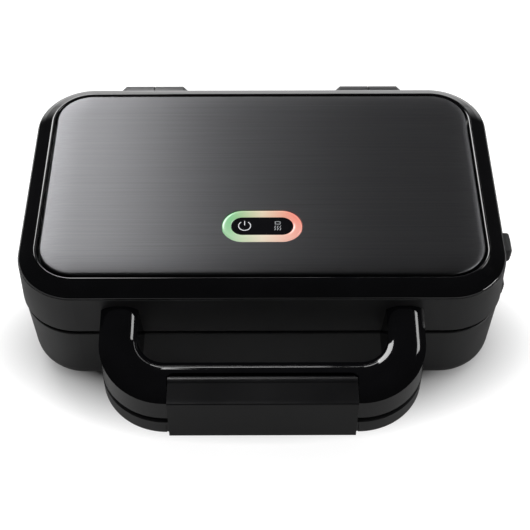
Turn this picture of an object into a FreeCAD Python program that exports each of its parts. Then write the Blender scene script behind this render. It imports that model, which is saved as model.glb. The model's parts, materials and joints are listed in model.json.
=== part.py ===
"""Sandwich maker with a hinged lid and two cooking plates, as separate named solids.

Sizes are in millimetres, +Z is up. Shapes are drawn round the middle of the body and then moved,
so that the origin is on the table under the middle of the whole, handle and hinges included.
The handle and its clip face -Y, the hinges are at +Y, the release buttons are at +X.
"""
import FreeCAD, Part
import math
import os

V = FreeCAD.Vector
CENTRE = V(0, 0, 0)
RIGHT = V(1, 0, 0)
BACK = V(0, 1, 0)
UP = V(0, 0, 1)
SIDES = (-1, 1)

# Fits and clearances
part_gap = 0.4
running_gap = 0.05
seat_gap = 0.3
cut_overrun = 6.0

# Body outline and heights
body_width = 290.0
body_depth = 177.0
body_corner = 35.0
wall = 2.5
foot_height = 5.0
base_height = 49.2
parting_gap = 3.6
lid_wall_height = 29.2
rim_height = 8.0
half_width = body_width / 2
half_depth = body_depth / 2
base_bottom = foot_height
floor_top = base_bottom + wall
base_top = base_bottom + base_height
lid_bottom = base_top + parting_gap
lid_top = lid_bottom + lid_wall_height
rim_top = lid_top + rim_height
parting = base_top + parting_gap / 2

# Base shell
base_top_proud = 0.3
base_draft = 2.2
base_edge_radius = 12.0
base_lip_radius = 0.8
ring_reach_share = 0.85
ring_reach = body_corner * ring_reach_share

# Feet
foot_radius = 9.0
foot_stud_radius = 3.0
foot_stud_height = 3.5
foot_bevel = 0.8
foot_side_inset = 37.0
foot_end_inset = 30.5
foot_x = half_width - foot_side_inset
foot_y = half_depth - foot_end_inset

# Lid shell
lid_ledge = 0.4
lid_flare = 0.8
lid_lip_radius = 1.0
lid_ledge_radius = 0.3
lid_flange_width = 24.0
lid_flange_thickness = 2.0

# Bezel and the deck that closes the lid
bezel_width = 11.75
bezel_foot_width = 3.0
bezel_edge_height = 1.2
bezel_shoulder_inset = 4.5
bezel_shoulder_height = 4.2
bezel_shoulder_radius = 9.0
bezel_inner_radius = 1.0
bezel_skin = 2.5
deck_thickness = 2.0
deck_top = lid_top + deck_thickness

# Steel panel
panel_groove = 1.3
panel_sheet = 0.8
panel_proud = 0.8
panel_edge_radius = 2.5
panel_inset = bezel_width + panel_groove
panel_width = body_width - 2 * panel_inset
panel_depth = body_depth - 2 * panel_inset
panel_corner = body_corner - panel_inset
panel_top = rim_top + panel_proud

# Indicator light
indicator_setback = 35.95
indicator_y = indicator_setback - panel_depth / 2
ring_length = 47.8
ring_width = 24.5
ring_band = 5.2
ring_proud = 0.3
window_sink = 0.3
board_margin = 3.0
board_thickness = 1.6
led_radius = 2.4
led_height = 1.8
led_x = (ring_length - ring_band) / 2

# Cooking plates
plate_gap = 0.6
plate_edge_gap = 2.3
plate_flange = 2.5
plate_skin = 2.5
pocket_side_margin = 23.5
pocket_end_margin = 22.0
pocket_divider = 10.0
pocket_draft = 4.0
pocket_rounding = 9.0
pocket_ridge = 4.0
lower_pocket_drop = 18.0
upper_pocket_drop = 14.0
plate_inset = wall - base_top_proud + plate_edge_gap
plate_half_width = half_width - plate_inset
plate_half_depth = half_depth - plate_inset
plate_corner = body_corner - plate_inset
pocket_width = plate_half_width - pocket_divider / 2 - pocket_side_margin
pocket_depth = 2 * (plate_half_depth - pocket_end_margin)
lower_plate_face = parting - plate_gap / 2
upper_plate_face = parting + plate_gap / 2

# Ribs in the shells that carry the plates
rib_width = 8.0
rib_height = 6.0
rib_reach = 6.0
rib_front_x = 55.0
rib_side_y = 34.0

# Plate latch, worked from the plate's edge inwards
latch_setback = 45.5
lug_margin = 1.5
lug_thickness = 3.0
lug_half_width = 5.0
foot_reach = 4.0
foot_thickness = 2.2
nose_overlap = 3.0
nose_length = 5.0
nose_thickness = 2.2
nose_sink = 0.6
release_travel = 4.0
latch_y = latch_setback - half_depth
lug_drop = nose_sink + nose_thickness + part_gap + foot_thickness
lug_outer = plate_half_width - lug_margin
lug_inner = lug_outer - lug_thickness
foot_inner = lug_inner - foot_reach
nose_tip = foot_inner + nose_overlap
post_outer = nose_tip - nose_length

# Left-hand hook that each plate slips under
hook_half_width = 12.0
hook_reach = 3.5

# Release buttons
button_width = 14.0
button_height = 9.8
button_proud = 5.0
button_outer = half_width + button_proud
button_inner = lug_outer + release_travel + part_gap
button_rounding = 2.0
upper_button_drop = 12.0
stem_drop = 1.0
stem_thickness = 3.4
stem_half_width = 4.0
post_thickness = 4.0
keeper_thickness = 2.0
keeper_height = 5.4
keeper_margin = 2.0
lower_foot_low = lower_plate_face - plate_flange - lug_drop
lower_button_low = lower_foot_low - part_gap - stem_thickness - stem_drop
upper_button_low = lid_top - upper_button_drop

# Button springs
spring_wire_radius = 0.4
spring_radius = 2.4
spring_turns = 5
arc_shares = (0, 0.5, 1)
spring_offset = 14.0
spring_seat_thickness = 3.0
spring_seat_half_width = 4.0
spring_seat_margin = 3.0
spring_y = latch_y + spring_offset

# Reflector pans
pan_side_margin = 21.5
pan_end_margin = 14.0
pan_width = 2 * (plate_half_width - pan_side_margin)
pan_depth = 2 * (plate_half_depth - pan_end_margin)
pan_corner = 16.0
pan_sheet = 0.8
pan_height = 12.0
pan_lip = 2.0
pan_clear = 5.0
upper_pan_clear = 2.4

# Heating elements
element_radius = 3.25
element_gap = 0.3
element_side_inset = 21.0
element_end_inset = 22.0
element_half_x = pan_width / 2 - element_side_inset
element_half_y = pan_depth / 2 - element_end_inset
element_bend = 14.0
terminal_x = 15.0
terminal_inset = 4.0
terminal_y = pan_depth / 2 - terminal_inset
cold_pin_radius = 1.5
cold_pin_length = 12.0
insulator_radius = 3.4
insulator_length = 8.0
bracket_length = 6.0
bracket_width = 10.0

# Screws
screw_radius = 1.5
screw_head_radius = 2.8
screw_head_height = 2.0
boss_radius = 4.5
reflector_screw_clear = 18.0
reflector_screw_x = element_half_x - reflector_screw_clear
reflector_screw_y = element_half_y - reflector_screw_clear
reflector_screw_length = 10.0
lid_screw_diagonal = 9.0
lid_boss_height = 4.0
lid_screw_length = 7.0
board_screw_x = 10.0
board_screw_head = 1.5
handle_screw_pitch = 7.0
handle_screw_length = 12.0

# Handle
handle_half_width = 94.0
handle_arm = 19.0
handle_reach = 60.0
handle_front = half_depth + handle_reach
handle_bar = 25.5
handle_outer_radius = 39.0
handle_inner_radius = 17.0
handle_root_drop = 5.5
handle_front_drop = 14.5
handle_edge_radius = 5.0
handle_skirt = 3.2
handle_split = 4.6
lower_handle_height = 12.0
lower_handle_rake = 1.5
lower_handle_edge_radius = 3.0
upper_screw_rise = 12.0

# Handle clip
clip_width = 107.0
clip_thickness = 2.6
clip_proud = 0.8
clip_pivot_back = 12.5
clip_barrel_radius = 4.0
clip_axle_radius = 2.0
clip_axle_length = 3.0
clip_axle_inset = 6.5
clip_rear_rounding = 4.0
clip_foot_rounding = 5.0
clip_outer_rounding = 2.4
clip_foot_rise = 3.0
clip_lip_height = 2.0
clip_lip_reach = 0.8
clip_lip_rise = 4.5
clip_lip_rounding = 0.6

# Hinges
hinge_back = 10.8
hinge_drop = 17.3
hinge_radius = 9.0
hinge_inner_x = 48.5
hinge_outer_x = 97.0
hinge_taper = 5.0
hinge_taper_radius = 4.5
hinge_split_gap = 0.6
hinge_pin_radius = 2.5
hinge_pin_inset = 1.5
hinge_web_drop = 8.0
hinge_web_low = 18.0
hinge_y = half_depth + hinge_back
hinge_z = lid_top - hinge_drop
hinge_split_x = (hinge_inner_x + hinge_outer_x) / 2

# Parts of the electrics between the base's floor and the lower pan
electrics_clear = 3.1
thermostat_radius = 9.0
thermostat_cap_radius = 11.0
thermostat_cap_height = 1.2
thermostat_y = -10.0
fuse_radius = 2.2
fuse_length = 22.0
fuse_lead_radius = 0.6
fuse_lead_length = 9.0
fuse_x = -45.0
fuse_y = 12.0
block_length = 34.0
block_width = 16.0
block_x = 45.0
block_setback = 28.5
block_y = half_depth - block_setback
block_bore_share = 0.43
block_ways = 3
grommet_rise = 18.0
grommet_height = base_bottom + grommet_rise
grommet_bore_radius = 4.0
grommet_neck_radius = 7.0
grommet_flange_radius = 10.0
grommet_flange = 2.5


def outline(corners, place):
    """Closed wire through (a, b) or (a, b, rounding) corners, each rounding an arc."""
    spans = []
    for index, (a, b, *rounding) in enumerate(corners):
        tip = V(a, b, 0)
        before = V(*corners[index - 1][:2], 0) - tip
        after = V(*corners[(index + 1) % len(corners)][:2], 0) - tip
        before.normalize()
        after.normalize()
        if not any(rounding):
            spans.append((tip, None, tip))
            continue
        radius = rounding[0]
        half_angle = before.getAngle(after) / 2
        bisector = before + after
        bisector.normalize()
        reach = radius / math.tan(half_angle)
        centre = tip + bisector * (radius / math.sin(half_angle))
        spans.append((tip + before * reach, centre - bisector * radius, tip + after * reach))
    edges = []
    for index, (enter, middle, leave) in enumerate(spans):
        start = spans[index - 1][2]
        edges.append(Part.LineSegment(place(start), place(enter)).toShape())
        if middle:
            edges.append(Part.Arc(place(enter), place(middle), place(leave)).toShape())
    return Part.Wire(edges)


def rectangle(x_low, x_high, y_low, y_high, rounding=0):
    """Corners of a rectangle, all rounded alike."""
    places = ((x_low, y_low), (x_high, y_low), (x_high, y_high), (x_low, y_high))
    return [(x, y, rounding) for x, y in places]


def prism(corners, low, high):
    """Plan outline raised from one height to another."""
    face = Part.Face(outline(corners, lambda p: V(p.x, p.y, low)))
    return face.extrude(UP * (high - low))


def side_prism(corners, x_low, x_high):
    """Outline of (y, z) corners carried along X."""
    face = Part.Face(outline(corners, lambda p: V(x_low, p.x, p.y)))
    return face.extrude(RIGHT * (x_high - x_low))


def front_prism(corners, y_low, y_high):
    """Outline of (x, z) corners carried along Y."""
    face = Part.Face(outline(corners, lambda p: V(p.x, y_low, p.y)))
    return face.extrude(BACK * (y_high - y_low))


def block(x_low, x_high, y_low, y_high, z_low, z_high):
    """Plain box between two corners."""
    return Part.makeBox(x_high - x_low, y_high - y_low, z_high - z_low, V(x_low, y_low, z_low))


def plate_block(width, depth, rounding, low, high):
    """Rounded plate centred on the origin."""
    return prism(rectangle(-width / 2, width / 2, -depth / 2, depth / 2, rounding), low, high)


def stadium(length, width, middle_y, low, high):
    """Bar with round ends, centred on X."""
    radius = width / 2
    run = length / 2 - radius
    front = middle_y - radius
    back = middle_y + radius
    edges = [
        Part.LineSegment(V(-run, front, low), V(run, front, low)).toShape(),
        Part.Arc(V(run, front, low), V(run + radius, middle_y, low), V(run, back, low)).toShape(),
        Part.LineSegment(V(run, back, low), V(-run, back, low)).toShape(),
        Part.Arc(V(-run, back, low), V(-run - radius, middle_y, low), V(-run, front, low)).toShape(),
    ]
    return Part.Face(Part.Wire(edges)).extrude(UP * (high - low))


def rod(radius, start, end):
    """Round bar between two points."""
    return Part.makeCylinder(radius, (end - start).Length, start, end - start)


def joined(shapes):
    """One solid from touching or overlapping solids."""
    return shapes[0].multiFuse(shapes[1:]).removeSplitter()


def around(corners):
    """Carry a profile of (inset, height, rounding) corners round the body's outline."""
    pieces = []
    for quarter in range(4):
        run, reach = half_width - body_corner, half_depth
        if quarter % 2:
            run, reach = half_depth - body_corner, half_width
        start = Part.Face(outline(corners, lambda p: V(-run, p.x - reach, p.y)))
        straight = start.extrude(RIGHT * 2 * run)
        corner = start.translated(RIGHT * 2 * run).revolve(V(run, body_corner - reach, 0), UP, 90)
        pieces += [piece.rotated(CENTRE, UP, 90 * quarter) for piece in (straight, corner)]
    return joined(pieces)


def inside(reach, low, high):
    """What fills the body's outline from an inset inwards."""
    width, depth = body_width - 2 * reach, body_depth - 2 * reach
    return plate_block(width, depth, body_corner - reach, low, high)


def screw(head_seat, direction, length, head_height=screw_head_height):
    """Pan-head screw whose head rests on its seat, with the shank along the direction."""
    head = rod(screw_head_radius, head_seat - direction * head_height, head_seat)
    return joined([head, rod(screw_radius, head_seat, head_seat + direction * length)])


def screw_hole(head_seat, direction, length):
    """Room for a screw's shank."""
    start = head_seat - direction * cut_overrun
    return rod(screw_radius + running_gap, start, head_seat + direction * length)


def mirrored_x(shape):
    """The same shape on the other side."""
    return shape.mirror(CENTRE, RIGHT)


def keep(name, *solids):
    """Write a node, as one solid or a group of like solids."""
    shape = solids[0] if len(solids) == 1 else Part.makeCompound(list(solids))
    shape = shape.translated(whole_shift)
    shape.exportStep(f"parts/{name}.step")
    volume = sum(solid.Volume for solid in solids)
    print(f"{name:26s} solids {len(shape.Solids):2d} valid {shape.isValid()} volume {volume:10.1f}")


def base_inset(height):
    """How far the base's outer face lies inside the bezel's outline at a height, less than zero outside it."""
    return base_draft * (base_top - height) / base_height - base_top_proud


def base_inner_inset(height):
    """How far the base's inner face lies inside the bezel's outline at a height."""
    return wall + base_draft * (base_top - height) / (base_top - floor_top) - base_top_proud


def lid_inset(height):
    """How far the lid's outer face lies inside the bezel's outline at a height, less than zero outside it."""
    return -lid_ledge - lid_flare * (lid_top - height) / lid_wall_height


def lid_inner_inset(height):
    """How far the lid's inner face lies inside the bezel's outline at a height."""
    return lid_inset(height) + wall


# Screw places shared by the pieces they hold
DIAGONALS = [(x, y) for x in SIDES for y in SIDES]
REFLECTOR_SCREWS = [(x * reflector_screw_x, y * reflector_screw_y) for x, y in DIAGONALS]
lid_screw_x = half_width - body_corner + lid_screw_diagonal
lid_screw_y = half_depth - body_corner + lid_screw_diagonal
LID_SCREWS = [(x * lid_screw_x, y * lid_screw_y) for x, y in DIAGONALS]
arm_middle = handle_half_width - handle_arm / 2
HANDLE_SCREWS = [x * arm_middle + step * handle_screw_pitch / 2 for x in SIDES for step in SIDES]
upper_screw_z = lid_bottom + upper_screw_rise
handle_low = lid_bottom - handle_skirt
lower_handle_high = handle_low - handle_split
lower_handle_low = lower_handle_high - lower_handle_height
lower_screw_z = (lower_handle_low + lower_handle_high) / 2

# Heights of the heaters, stacked from the plates outwards
lower_bowl_low = lower_plate_face - lower_pocket_drop - plate_skin
lower_element_z = lower_bowl_low - element_gap - element_radius
lower_pan_top = lower_element_z - element_radius - pan_clear
lower_pan_low = lower_pan_top - pan_sheet
electrics_height = lower_pan_low - floor_top - electrics_clear
upper_bowl_high = upper_plate_face + upper_pocket_drop + plate_skin
upper_element_z = upper_bowl_high + element_gap + element_radius
upper_pan_low = upper_element_z + element_radius + upper_pan_clear
upper_pan_high = upper_pan_low + pan_sheet


def unit_to(start, end):
    """Direction from one point to another."""
    step = end - start
    step.normalize()
    return step


def inset_polygon(points, distances):
    """Move each side of a counter-clockwise polygon inwards by its own distance."""
    sides = []
    for index, point in enumerate(points):
        along = unit_to(point, points[(index + 1) % len(points)])
        sides.append((point + V(-along.y, along.x, 0) * distances[index], along))
    corners = []
    for index, (point, along) in enumerate(sides):
        before, previous = sides[index - 1]
        cross = previous.x * along.y - previous.y * along.x
        step = point - before
        corners.append(before + previous * ((step.x * along.y - step.y * along.x) / cross))
    return corners


def pocket_triangles():
    """The two halves of the right-hand pocket, either side of its diagonal ridge."""
    x_low, x_high = pocket_divider / 2, pocket_divider / 2 + pocket_width
    y_low, y_high = -pocket_depth / 2, pocket_depth / 2
    front_inner, back_outer = V(x_low, y_low, 0), V(x_high, y_high, 0)
    outer = [front_inner, V(x_high, y_low, 0), back_outer]
    inner = [back_outer, V(x_low, y_high, 0), front_inner]
    return [inset_polygon(half, (0, 0, pocket_ridge / 2)) for half in (outer, inner)]


def tapered(points, spread, rounding, drop, top):
    """Drafted block hanging under a triangle that is spread outwards."""
    wires = []
    for inset, height in ((-spread, top), (pocket_draft - spread, -drop)):
        corners = [(p.x, p.y, rounding) for p in inset_polygon(points, [inset] * len(points))]
        wires.append(outline(corners, lambda p: V(p.x, p.y, height)))
    return Part.makeLoft(wires, True, True)


def cooking_plate(drop):
    """Cast plate with its face at zero height and its pockets below."""
    flange = plate_block(2 * plate_half_width, 2 * plate_half_depth, plate_corner, -plate_flange, 0)
    bowls, hollows = [], []
    for triangle in pocket_triangles():
        bowl = tapered(triangle, plate_skin, pocket_rounding + plate_skin, drop + plate_skin, 0)
        hollow = tapered(triangle, 0, pocket_rounding, drop, 0)
        bowls += [bowl, mirrored_x(bowl)]
        hollows += [hollow, mirrored_x(hollow)]
    lug_low = -plate_flange - lug_drop
    foot_high = lug_low + foot_thickness
    near, far = latch_y - lug_half_width, latch_y + lug_half_width
    latch_lug = block(lug_inner, lug_outer, near, far, lug_low, -plate_flange)
    latch_foot = block(foot_inner, lug_inner, near, far, lug_low, foot_high)
    near, far = -hook_half_width, hook_half_width
    hook_lug = block(-lug_inner, -lug_inner + lug_thickness, near, far, lug_low, -plate_flange)
    hook_foot = block(-lug_inner - foot_reach, -lug_inner, near, far, lug_low, foot_high)
    plate = joined([flange] + bowls + [latch_lug, latch_foot, hook_lug, hook_foot])
    return plate.cut(Part.makeCompound(hollows))


def plate_supports(face_inset, low, high):
    """Ribs inside a shell's wall, flush with a plate's flange."""
    wall_x, wall_y = half_width - face_inset, half_depth - face_inset
    sink = wall / 2
    ribs = []
    for x in SIDES:
        across = sorted((x * (wall_x + sink), x * (wall_x - rib_reach)))
        ribs.append(block(*across, rib_side_y - rib_width / 2, rib_side_y + rib_width / 2, low, high))
        for y in SIDES:
            along = sorted((y * (wall_y + sink), y * (wall_y - rib_reach)))
            middle = x * rib_front_x
            ribs.append(block(middle - rib_width / 2, middle + rib_width / 2, *along, low, high))
    return ribs


def plate_hook(face_inset, low, high):
    """Rib on the left wall over the plate's hooked foot."""
    wall_x = half_width - face_inset
    tip = -lug_inner - foot_reach + hook_reach
    return block(-wall_x - wall / 2, tip, -hook_half_width, hook_half_width, low, high)


def nose_heights(face, upward):
    """Low and high side of the latch nose behind a plate's flange."""
    near = face + upward * (plate_flange + nose_sink)
    return sorted((near, near + upward * nose_thickness))


def release_button(low, wall_face, nose):
    """Button with its stem, its keeper inside the wall and its latch nose on a post."""
    y_low, y_high = latch_y - button_width / 2, latch_y + button_width / 2
    cap = block(button_inner, button_outer, y_low, y_high, low, low + button_height)
    outer_edges = [e for e in cap.Edges if e.BoundBox.XMin > button_outer - part_gap]
    cap = cap.makeFillet(button_rounding, outer_edges)
    stem_low, stem_high = low + stem_drop, low + stem_drop + stem_thickness
    near, far = latch_y - stem_half_width, latch_y + stem_half_width
    post_inner = post_outer - post_thickness
    stem = block(post_inner, button_inner, near, far, stem_low, stem_high)
    keeper_outer = wall_face - part_gap
    keeper_inner = keeper_outer - keeper_thickness
    keeper_end = spring_y + spring_radius + keeper_margin
    keeper_low = stem_high - keeper_height
    keeper = block(keeper_inner, keeper_outer, y_low - keeper_margin, keeper_end, keeper_low, stem_high)
    post = block(post_inner, post_outer, near, far, min(nose[0], stem_low), max(nose[1], stem_high))
    tooth = block(post_outer, nose_tip, near, far, *nose)
    return joined([cap, stem, keeper, post, tooth])


def button_window(low):
    """Opening in the right-hand wall round a button."""
    y_low, y_high = latch_y - button_width / 2 - part_gap, latch_y + button_width / 2 + part_gap
    high = low + button_height + part_gap
    inner = half_width - wall - cut_overrun
    return block(inner, half_width + cut_overrun, y_low, y_high, low - part_gap, high)


def spring_axis_z(low):
    """Height of a button spring's axis, at the middle of the keeper."""
    return low + stem_drop + stem_thickness - keeper_height / 2


seat_face = post_outer - post_thickness / 2


def spring_seat(low_z, high_z):
    """Upright that a button spring pushes against."""
    near, far = spring_y - spring_seat_half_width, spring_y + spring_seat_half_width
    return block(seat_face - spring_seat_thickness, seat_face, near, far, low_z, high_z)


def release_spring(low, wall_face):
    """Coil between its seat and the button's keeper."""
    start = seat_face + spring_wire_radius
    length = wall_face - part_gap - keeper_thickness - spring_wire_radius - start
    pitch = length / spring_turns
    middle = spring_axis_z(low)

    def at(turn):
        angle = 2 * math.pi * turn
        swing = spring_radius * math.sin(angle)
        return V(start + pitch * turn, spring_y + spring_radius * math.cos(angle), middle + swing)

    edges = []
    for quarter in range(4 * spring_turns):
        points = [at((quarter + share) / 4) for share in arc_shares]
        edges.append(Part.Arc(*points).toShape())
    path = Part.Wire(edges)
    heading = edges[0].tangentAt(edges[0].FirstParameter)
    wire = Part.Wire(Part.makeCircle(spring_wire_radius, at(0), heading))
    return path.makePipeShell([wire], True, False)


def base_shell():
    """Tub with its hinge lugs, plate ribs, screw posts and wall openings."""
    rim_inner = base_inner_inset(base_top)
    profile = [
        (base_inset(base_top), base_top, base_lip_radius),
        (base_inset(base_bottom), base_bottom, base_edge_radius),
        (ring_reach, base_bottom),
        (ring_reach, floor_top),
        (base_inner_inset(floor_top), floor_top, base_edge_radius - wall),
        (rim_inner, base_top),
    ]
    flange_low = lower_plate_face - plate_flange
    nose = nose_heights(lower_plate_face, -1)
    posts = [rod(boss_radius, V(x, y, floor_top), V(x, y, lower_pan_low)) for x, y in REFLECTOR_SCREWS]
    seat_high = spring_axis_z(lower_button_low) + spring_seat_margin
    shell = joined(
        [around(profile), inside(ring_reach, base_bottom, floor_top)]
        + plate_supports(rim_inner, flange_low - rib_height, flange_low)
        + [plate_hook(rim_inner, *nose), spring_seat(floor_top, seat_high)]
        + posts
        + [hinge_lug(side, base_hinge_web(), hinge_inner_x) for side in SIDES]
    )
    cuts = [button_window(lower_button_low)]
    cuts += [screw_hole(V(x, y, lower_pan_top), -UP, reflector_screw_length) for x, y in REFLECTOR_SCREWS]
    cuts += [hinge_bore(side, hinge_pin_radius, hinge_inner_x + hinge_pin_inset) for side in SIDES]
    cuts += [screw_hole(seat, -BACK, wall + cut_overrun) for seat in lower_screw_seats()]
    cuts += [rod(foot_stud_radius + running_gap, *foot_stud(x, y)) for x, y in DIAGONALS]
    cuts.append(rod(grommet_neck_radius + running_gap, *grommet_span(cut_overrun)))
    return shell.cut(Part.makeCompound(cuts))


def lower_screw_seats():
    """Where the lower handle's screw heads rest on the base's inner front face."""
    inset = base_inner_inset(lower_screw_z - screw_head_radius)
    return [V(x, inset - half_depth, lower_screw_z) for x in HANDLE_SCREWS]


def upper_screw_seats():
    """Where the upper handle's screw heads rest on the lid's inner front face."""
    inset = lid_inner_inset(upper_screw_z + screw_head_radius)
    return [V(x, inset - half_depth, upper_screw_z) for x in HANDLE_SCREWS]


def foot_stud(x, y):
    """Ends of a foot's stud."""
    place = V(x * foot_x, y * foot_y, base_bottom)
    return place, place + UP * foot_stud_height


def foot(x, y):
    """Rubber pad with a stud through the floor."""
    start, end = foot_stud(x, y)
    pad = rod(foot_radius, start - UP * foot_height, start)
    low_edges = [e for e in pad.Edges if e.BoundBox.ZMax < foot_bevel]
    return joined([pad.makeChamfer(foot_bevel, low_edges), rod(foot_stud_radius, start, end)])


def base_hinge_web():
    """Profile of the web that carries the base's hinge lugs, clear of the lid's back wall."""
    low = base_top - hinge_web_low
    near = hinge_y - hinge_radius
    root = half_depth - base_inset(low) - wall / 2
    far = hinge_y + hinge_radius
    return [
        (root, low),
        (root, base_top),
        (near, base_top),
        (near, hinge_z),
        (far, hinge_z),
        (far, hinge_z - hinge_web_drop),
        (near, low),
    ]


def lid_hinge_web():
    """Profile of the web that carries the lid's hinge lugs."""
    low, high = hinge_z - hinge_radius, hinge_z + hinge_radius
    root = half_depth - lid_inset(high) - wall / 2
    return [(root, low), (hinge_y, low), (hinge_y, high), (root, high)]


def hinge_lug(side, web, end_x):
    """Half of a hinge: a barrel with a tapered end, on a web. The end is the outer or inner one."""
    inward = 1 if end_x < hinge_split_x else -1
    split = hinge_split_x - inward * hinge_split_gap / 2
    shoulder = end_x + inward * hinge_taper
    axis = V(0, hinge_y, hinge_z)
    start = axis + RIGHT * shoulder
    barrel = rod(hinge_radius, start, axis + RIGHT * split)
    taper = Part.makeCone(hinge_radius, hinge_taper_radius, hinge_taper, start, RIGHT * -inward)
    body = joined([barrel, taper, side_prism(web, min(shoulder, split), max(shoulder, split))])
    return body if side > 0 else mirrored_x(body)


def hinge_bore(side, radius, inner_x):
    """Bore along a hinge's axis, out through its outer end."""
    axis = V(0, hinge_y, hinge_z)
    bore = rod(radius, axis + RIGHT * inner_x, axis + RIGHT * (hinge_outer_x + cut_overrun))
    return bore if side > 0 else mirrored_x(bore)


def hinge_pin(side):
    """Steel pin held in the base's lug."""
    axis = V(0, hinge_y, hinge_z)
    start, end = hinge_inner_x + hinge_pin_inset, hinge_outer_x - hinge_pin_inset
    pin = rod(hinge_pin_radius, axis + RIGHT * start, axis + RIGHT * end)
    return pin if side > 0 else mirrored_x(pin)


def grommet_span(extra):
    """Ends of the cord opening's axis through the back wall."""
    face = half_depth - base_inset(grommet_height)
    return V(0, face - wall - extra, grommet_height), V(0, face + extra, grommet_height)


def cord_grommet():
    """Flanged bush in the back wall."""
    start, end = grommet_span(0)
    widest = half_depth - base_inset(grommet_height + grommet_flange_radius)
    seat = V(0, widest, grommet_height)
    neck = rod(grommet_neck_radius, start, seat)
    flange = rod(grommet_flange_radius, seat, seat + BACK * grommet_flange)
    bore = rod(grommet_bore_radius, start - BACK * cut_overrun, end + BACK * cut_overrun)
    return joined([neck, flange]).cut(bore)


def lid_shell():
    """Flared lid wall with a top flange, plate ribs and hinge lugs."""
    seat_z = lid_top - lid_flange_thickness
    inner = lid_inner_inset(lid_top)
    profile = [
        (lid_inset(lid_bottom), lid_bottom, lid_lip_radius),
        (lid_inset(lid_top), lid_top, lid_ledge_radius),
        (inner + lid_flange_width, lid_top),
        (inner + lid_flange_width, seat_z),
        (lid_inner_inset(seat_z), seat_z),
        (lid_inner_inset(lid_bottom), lid_bottom),
    ]
    flange_high = upper_plate_face + plate_flange
    rib_high = flange_high + rib_height
    nose = nose_heights(upper_plate_face, 1)
    shell = joined(
        [around(profile)]
        + plate_supports(lid_inner_inset(rib_high), flange_high, rib_high)
        + [plate_hook(lid_inner_inset(nose[1]), *nose)]
        + [hinge_lug(side, lid_hinge_web(), hinge_outer_x) for side in SIDES]
    )
    notch_near = latch_y - button_width / 2 - 2 * keeper_margin
    notch_far = spring_y + spring_seat_half_width + keeper_margin
    notch_inner = half_width - inner - lid_flange_width - cut_overrun
    notch = block(notch_inner, half_width - inner, notch_near, notch_far, seat_z - cut_overrun, lid_top)
    cuts = [notch, button_window(upper_button_low)]
    cuts += [hinge_bore(side, hinge_pin_radius + running_gap, hinge_split_x) for side in SIDES]
    cuts += [screw_hole(V(x, y, seat_z), UP, lid_screw_length) for x, y in LID_SCREWS]
    cuts += [screw_hole(seat, -BACK, wall + cut_overrun) for seat in upper_screw_seats()]
    return shell.cut(Part.makeCompound(cuts))


def lid_bezel():
    """Sloped rim and the deck inside it, which closes the lid."""
    inner_wall = bezel_width - bezel_skin
    shoulder = lid_top + bezel_shoulder_height
    profile = [
        (0, lid_top),
        (0, lid_top + bezel_edge_height),
        (bezel_shoulder_inset, shoulder, bezel_shoulder_radius),
        (bezel_width, rim_top, bezel_inner_radius),
        (bezel_width, deck_top),
        (ring_reach, deck_top),
        (ring_reach, lid_top),
        (inner_wall, lid_top),
        (inner_wall, shoulder),
        (bezel_foot_width, lid_top),
    ]
    boss_top = deck_top + lid_boss_height
    bosses = [rod(boss_radius, V(x, y, deck_top), V(x, y, boss_top)) for x, y in LID_SCREWS]
    posts = [rod(boss_radius, V(x, y, upper_pan_high), V(x, y, lid_top)) for x, y in REFLECTOR_SCREWS]
    seat_low = spring_axis_z(upper_button_low) - spring_seat_margin
    deck = inside(ring_reach, lid_top, deck_top)
    bezel = joined([around(profile), deck, spring_seat(seat_low, lid_top)] + bosses + posts)
    seat_z = lid_top - lid_flange_thickness
    cuts = [screw_hole(V(x, y, seat_z), UP, lid_screw_length) for x, y in LID_SCREWS]
    cuts += [screw_hole(V(x, y, upper_pan_low), UP, upper_reflector_thread()) for x, y in REFLECTOR_SCREWS]
    cuts += [screw_hole(place, UP, board_thread()) for place in board_screw_seats()]
    cuts += [rod(led_radius + part_gap, *led_span(side, cut_overrun)) for side in SIDES]
    return bezel.cut(Part.makeCompound(cuts))


def upper_reflector_thread():
    """Screw length from the pan up to just under the deck's top."""
    return deck_top - seat_gap - upper_pan_low


def board_thread():
    """Screw length through the board to just under the deck's top."""
    return board_thickness + deck_thickness - seat_gap


def board_screw_seats():
    """Where the board's screw heads rest."""
    return [V(x * board_screw_x, indicator_y, lid_top - board_thickness) for x in SIDES]


def led_span(side, extra):
    """Ends of a light's axis through the deck."""
    start = V(side * led_x, indicator_y, lid_top)
    return start, start + UP * (led_height + extra)


def lid_panel():
    """Pressed steel cover with a rolled edge and an opening for the light."""
    block_outer = plate_block(panel_width, panel_depth, panel_corner, deck_top, panel_top)
    top_edges = [e for e in block_outer.Edges if e.BoundBox.ZMin > panel_top - panel_sheet]
    skin = block_outer.makeFillet(panel_edge_radius, top_edges)
    inner_width, inner_depth = panel_width - 2 * panel_sheet, panel_depth - 2 * panel_sheet
    core_top = panel_top - panel_sheet
    core = plate_block(inner_width, inner_depth, panel_corner - panel_sheet, deck_top, core_top)
    core_edges = [e for e in core.Edges if e.BoundBox.ZMin > core_top - panel_sheet]
    core = core.makeFillet(panel_edge_radius - panel_sheet, core_edges)
    opening = stadium(
        ring_length + 2 * seat_gap, ring_width + 2 * seat_gap, indicator_y, deck_top, panel_top + cut_overrun
    )
    return skin.cut(Part.makeCompound([core, opening]))


def indicator_ring():
    """Clear light ring that stands on the deck."""
    top = panel_top + ring_proud
    outer = stadium(ring_length, ring_width, indicator_y, deck_top, top)
    inner_length, inner_width = ring_length - 2 * ring_band, ring_width - 2 * ring_band
    return outer.cut(stadium(inner_length, inner_width, indicator_y, deck_top, top + cut_overrun))


def indicator_window():
    """Dark centre of the light ring."""
    trim = ring_band + running_gap
    top = panel_top + ring_proud - window_sink
    return stadium(ring_length - 2 * trim, ring_width - 2 * trim, indicator_y, deck_top, top)


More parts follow.
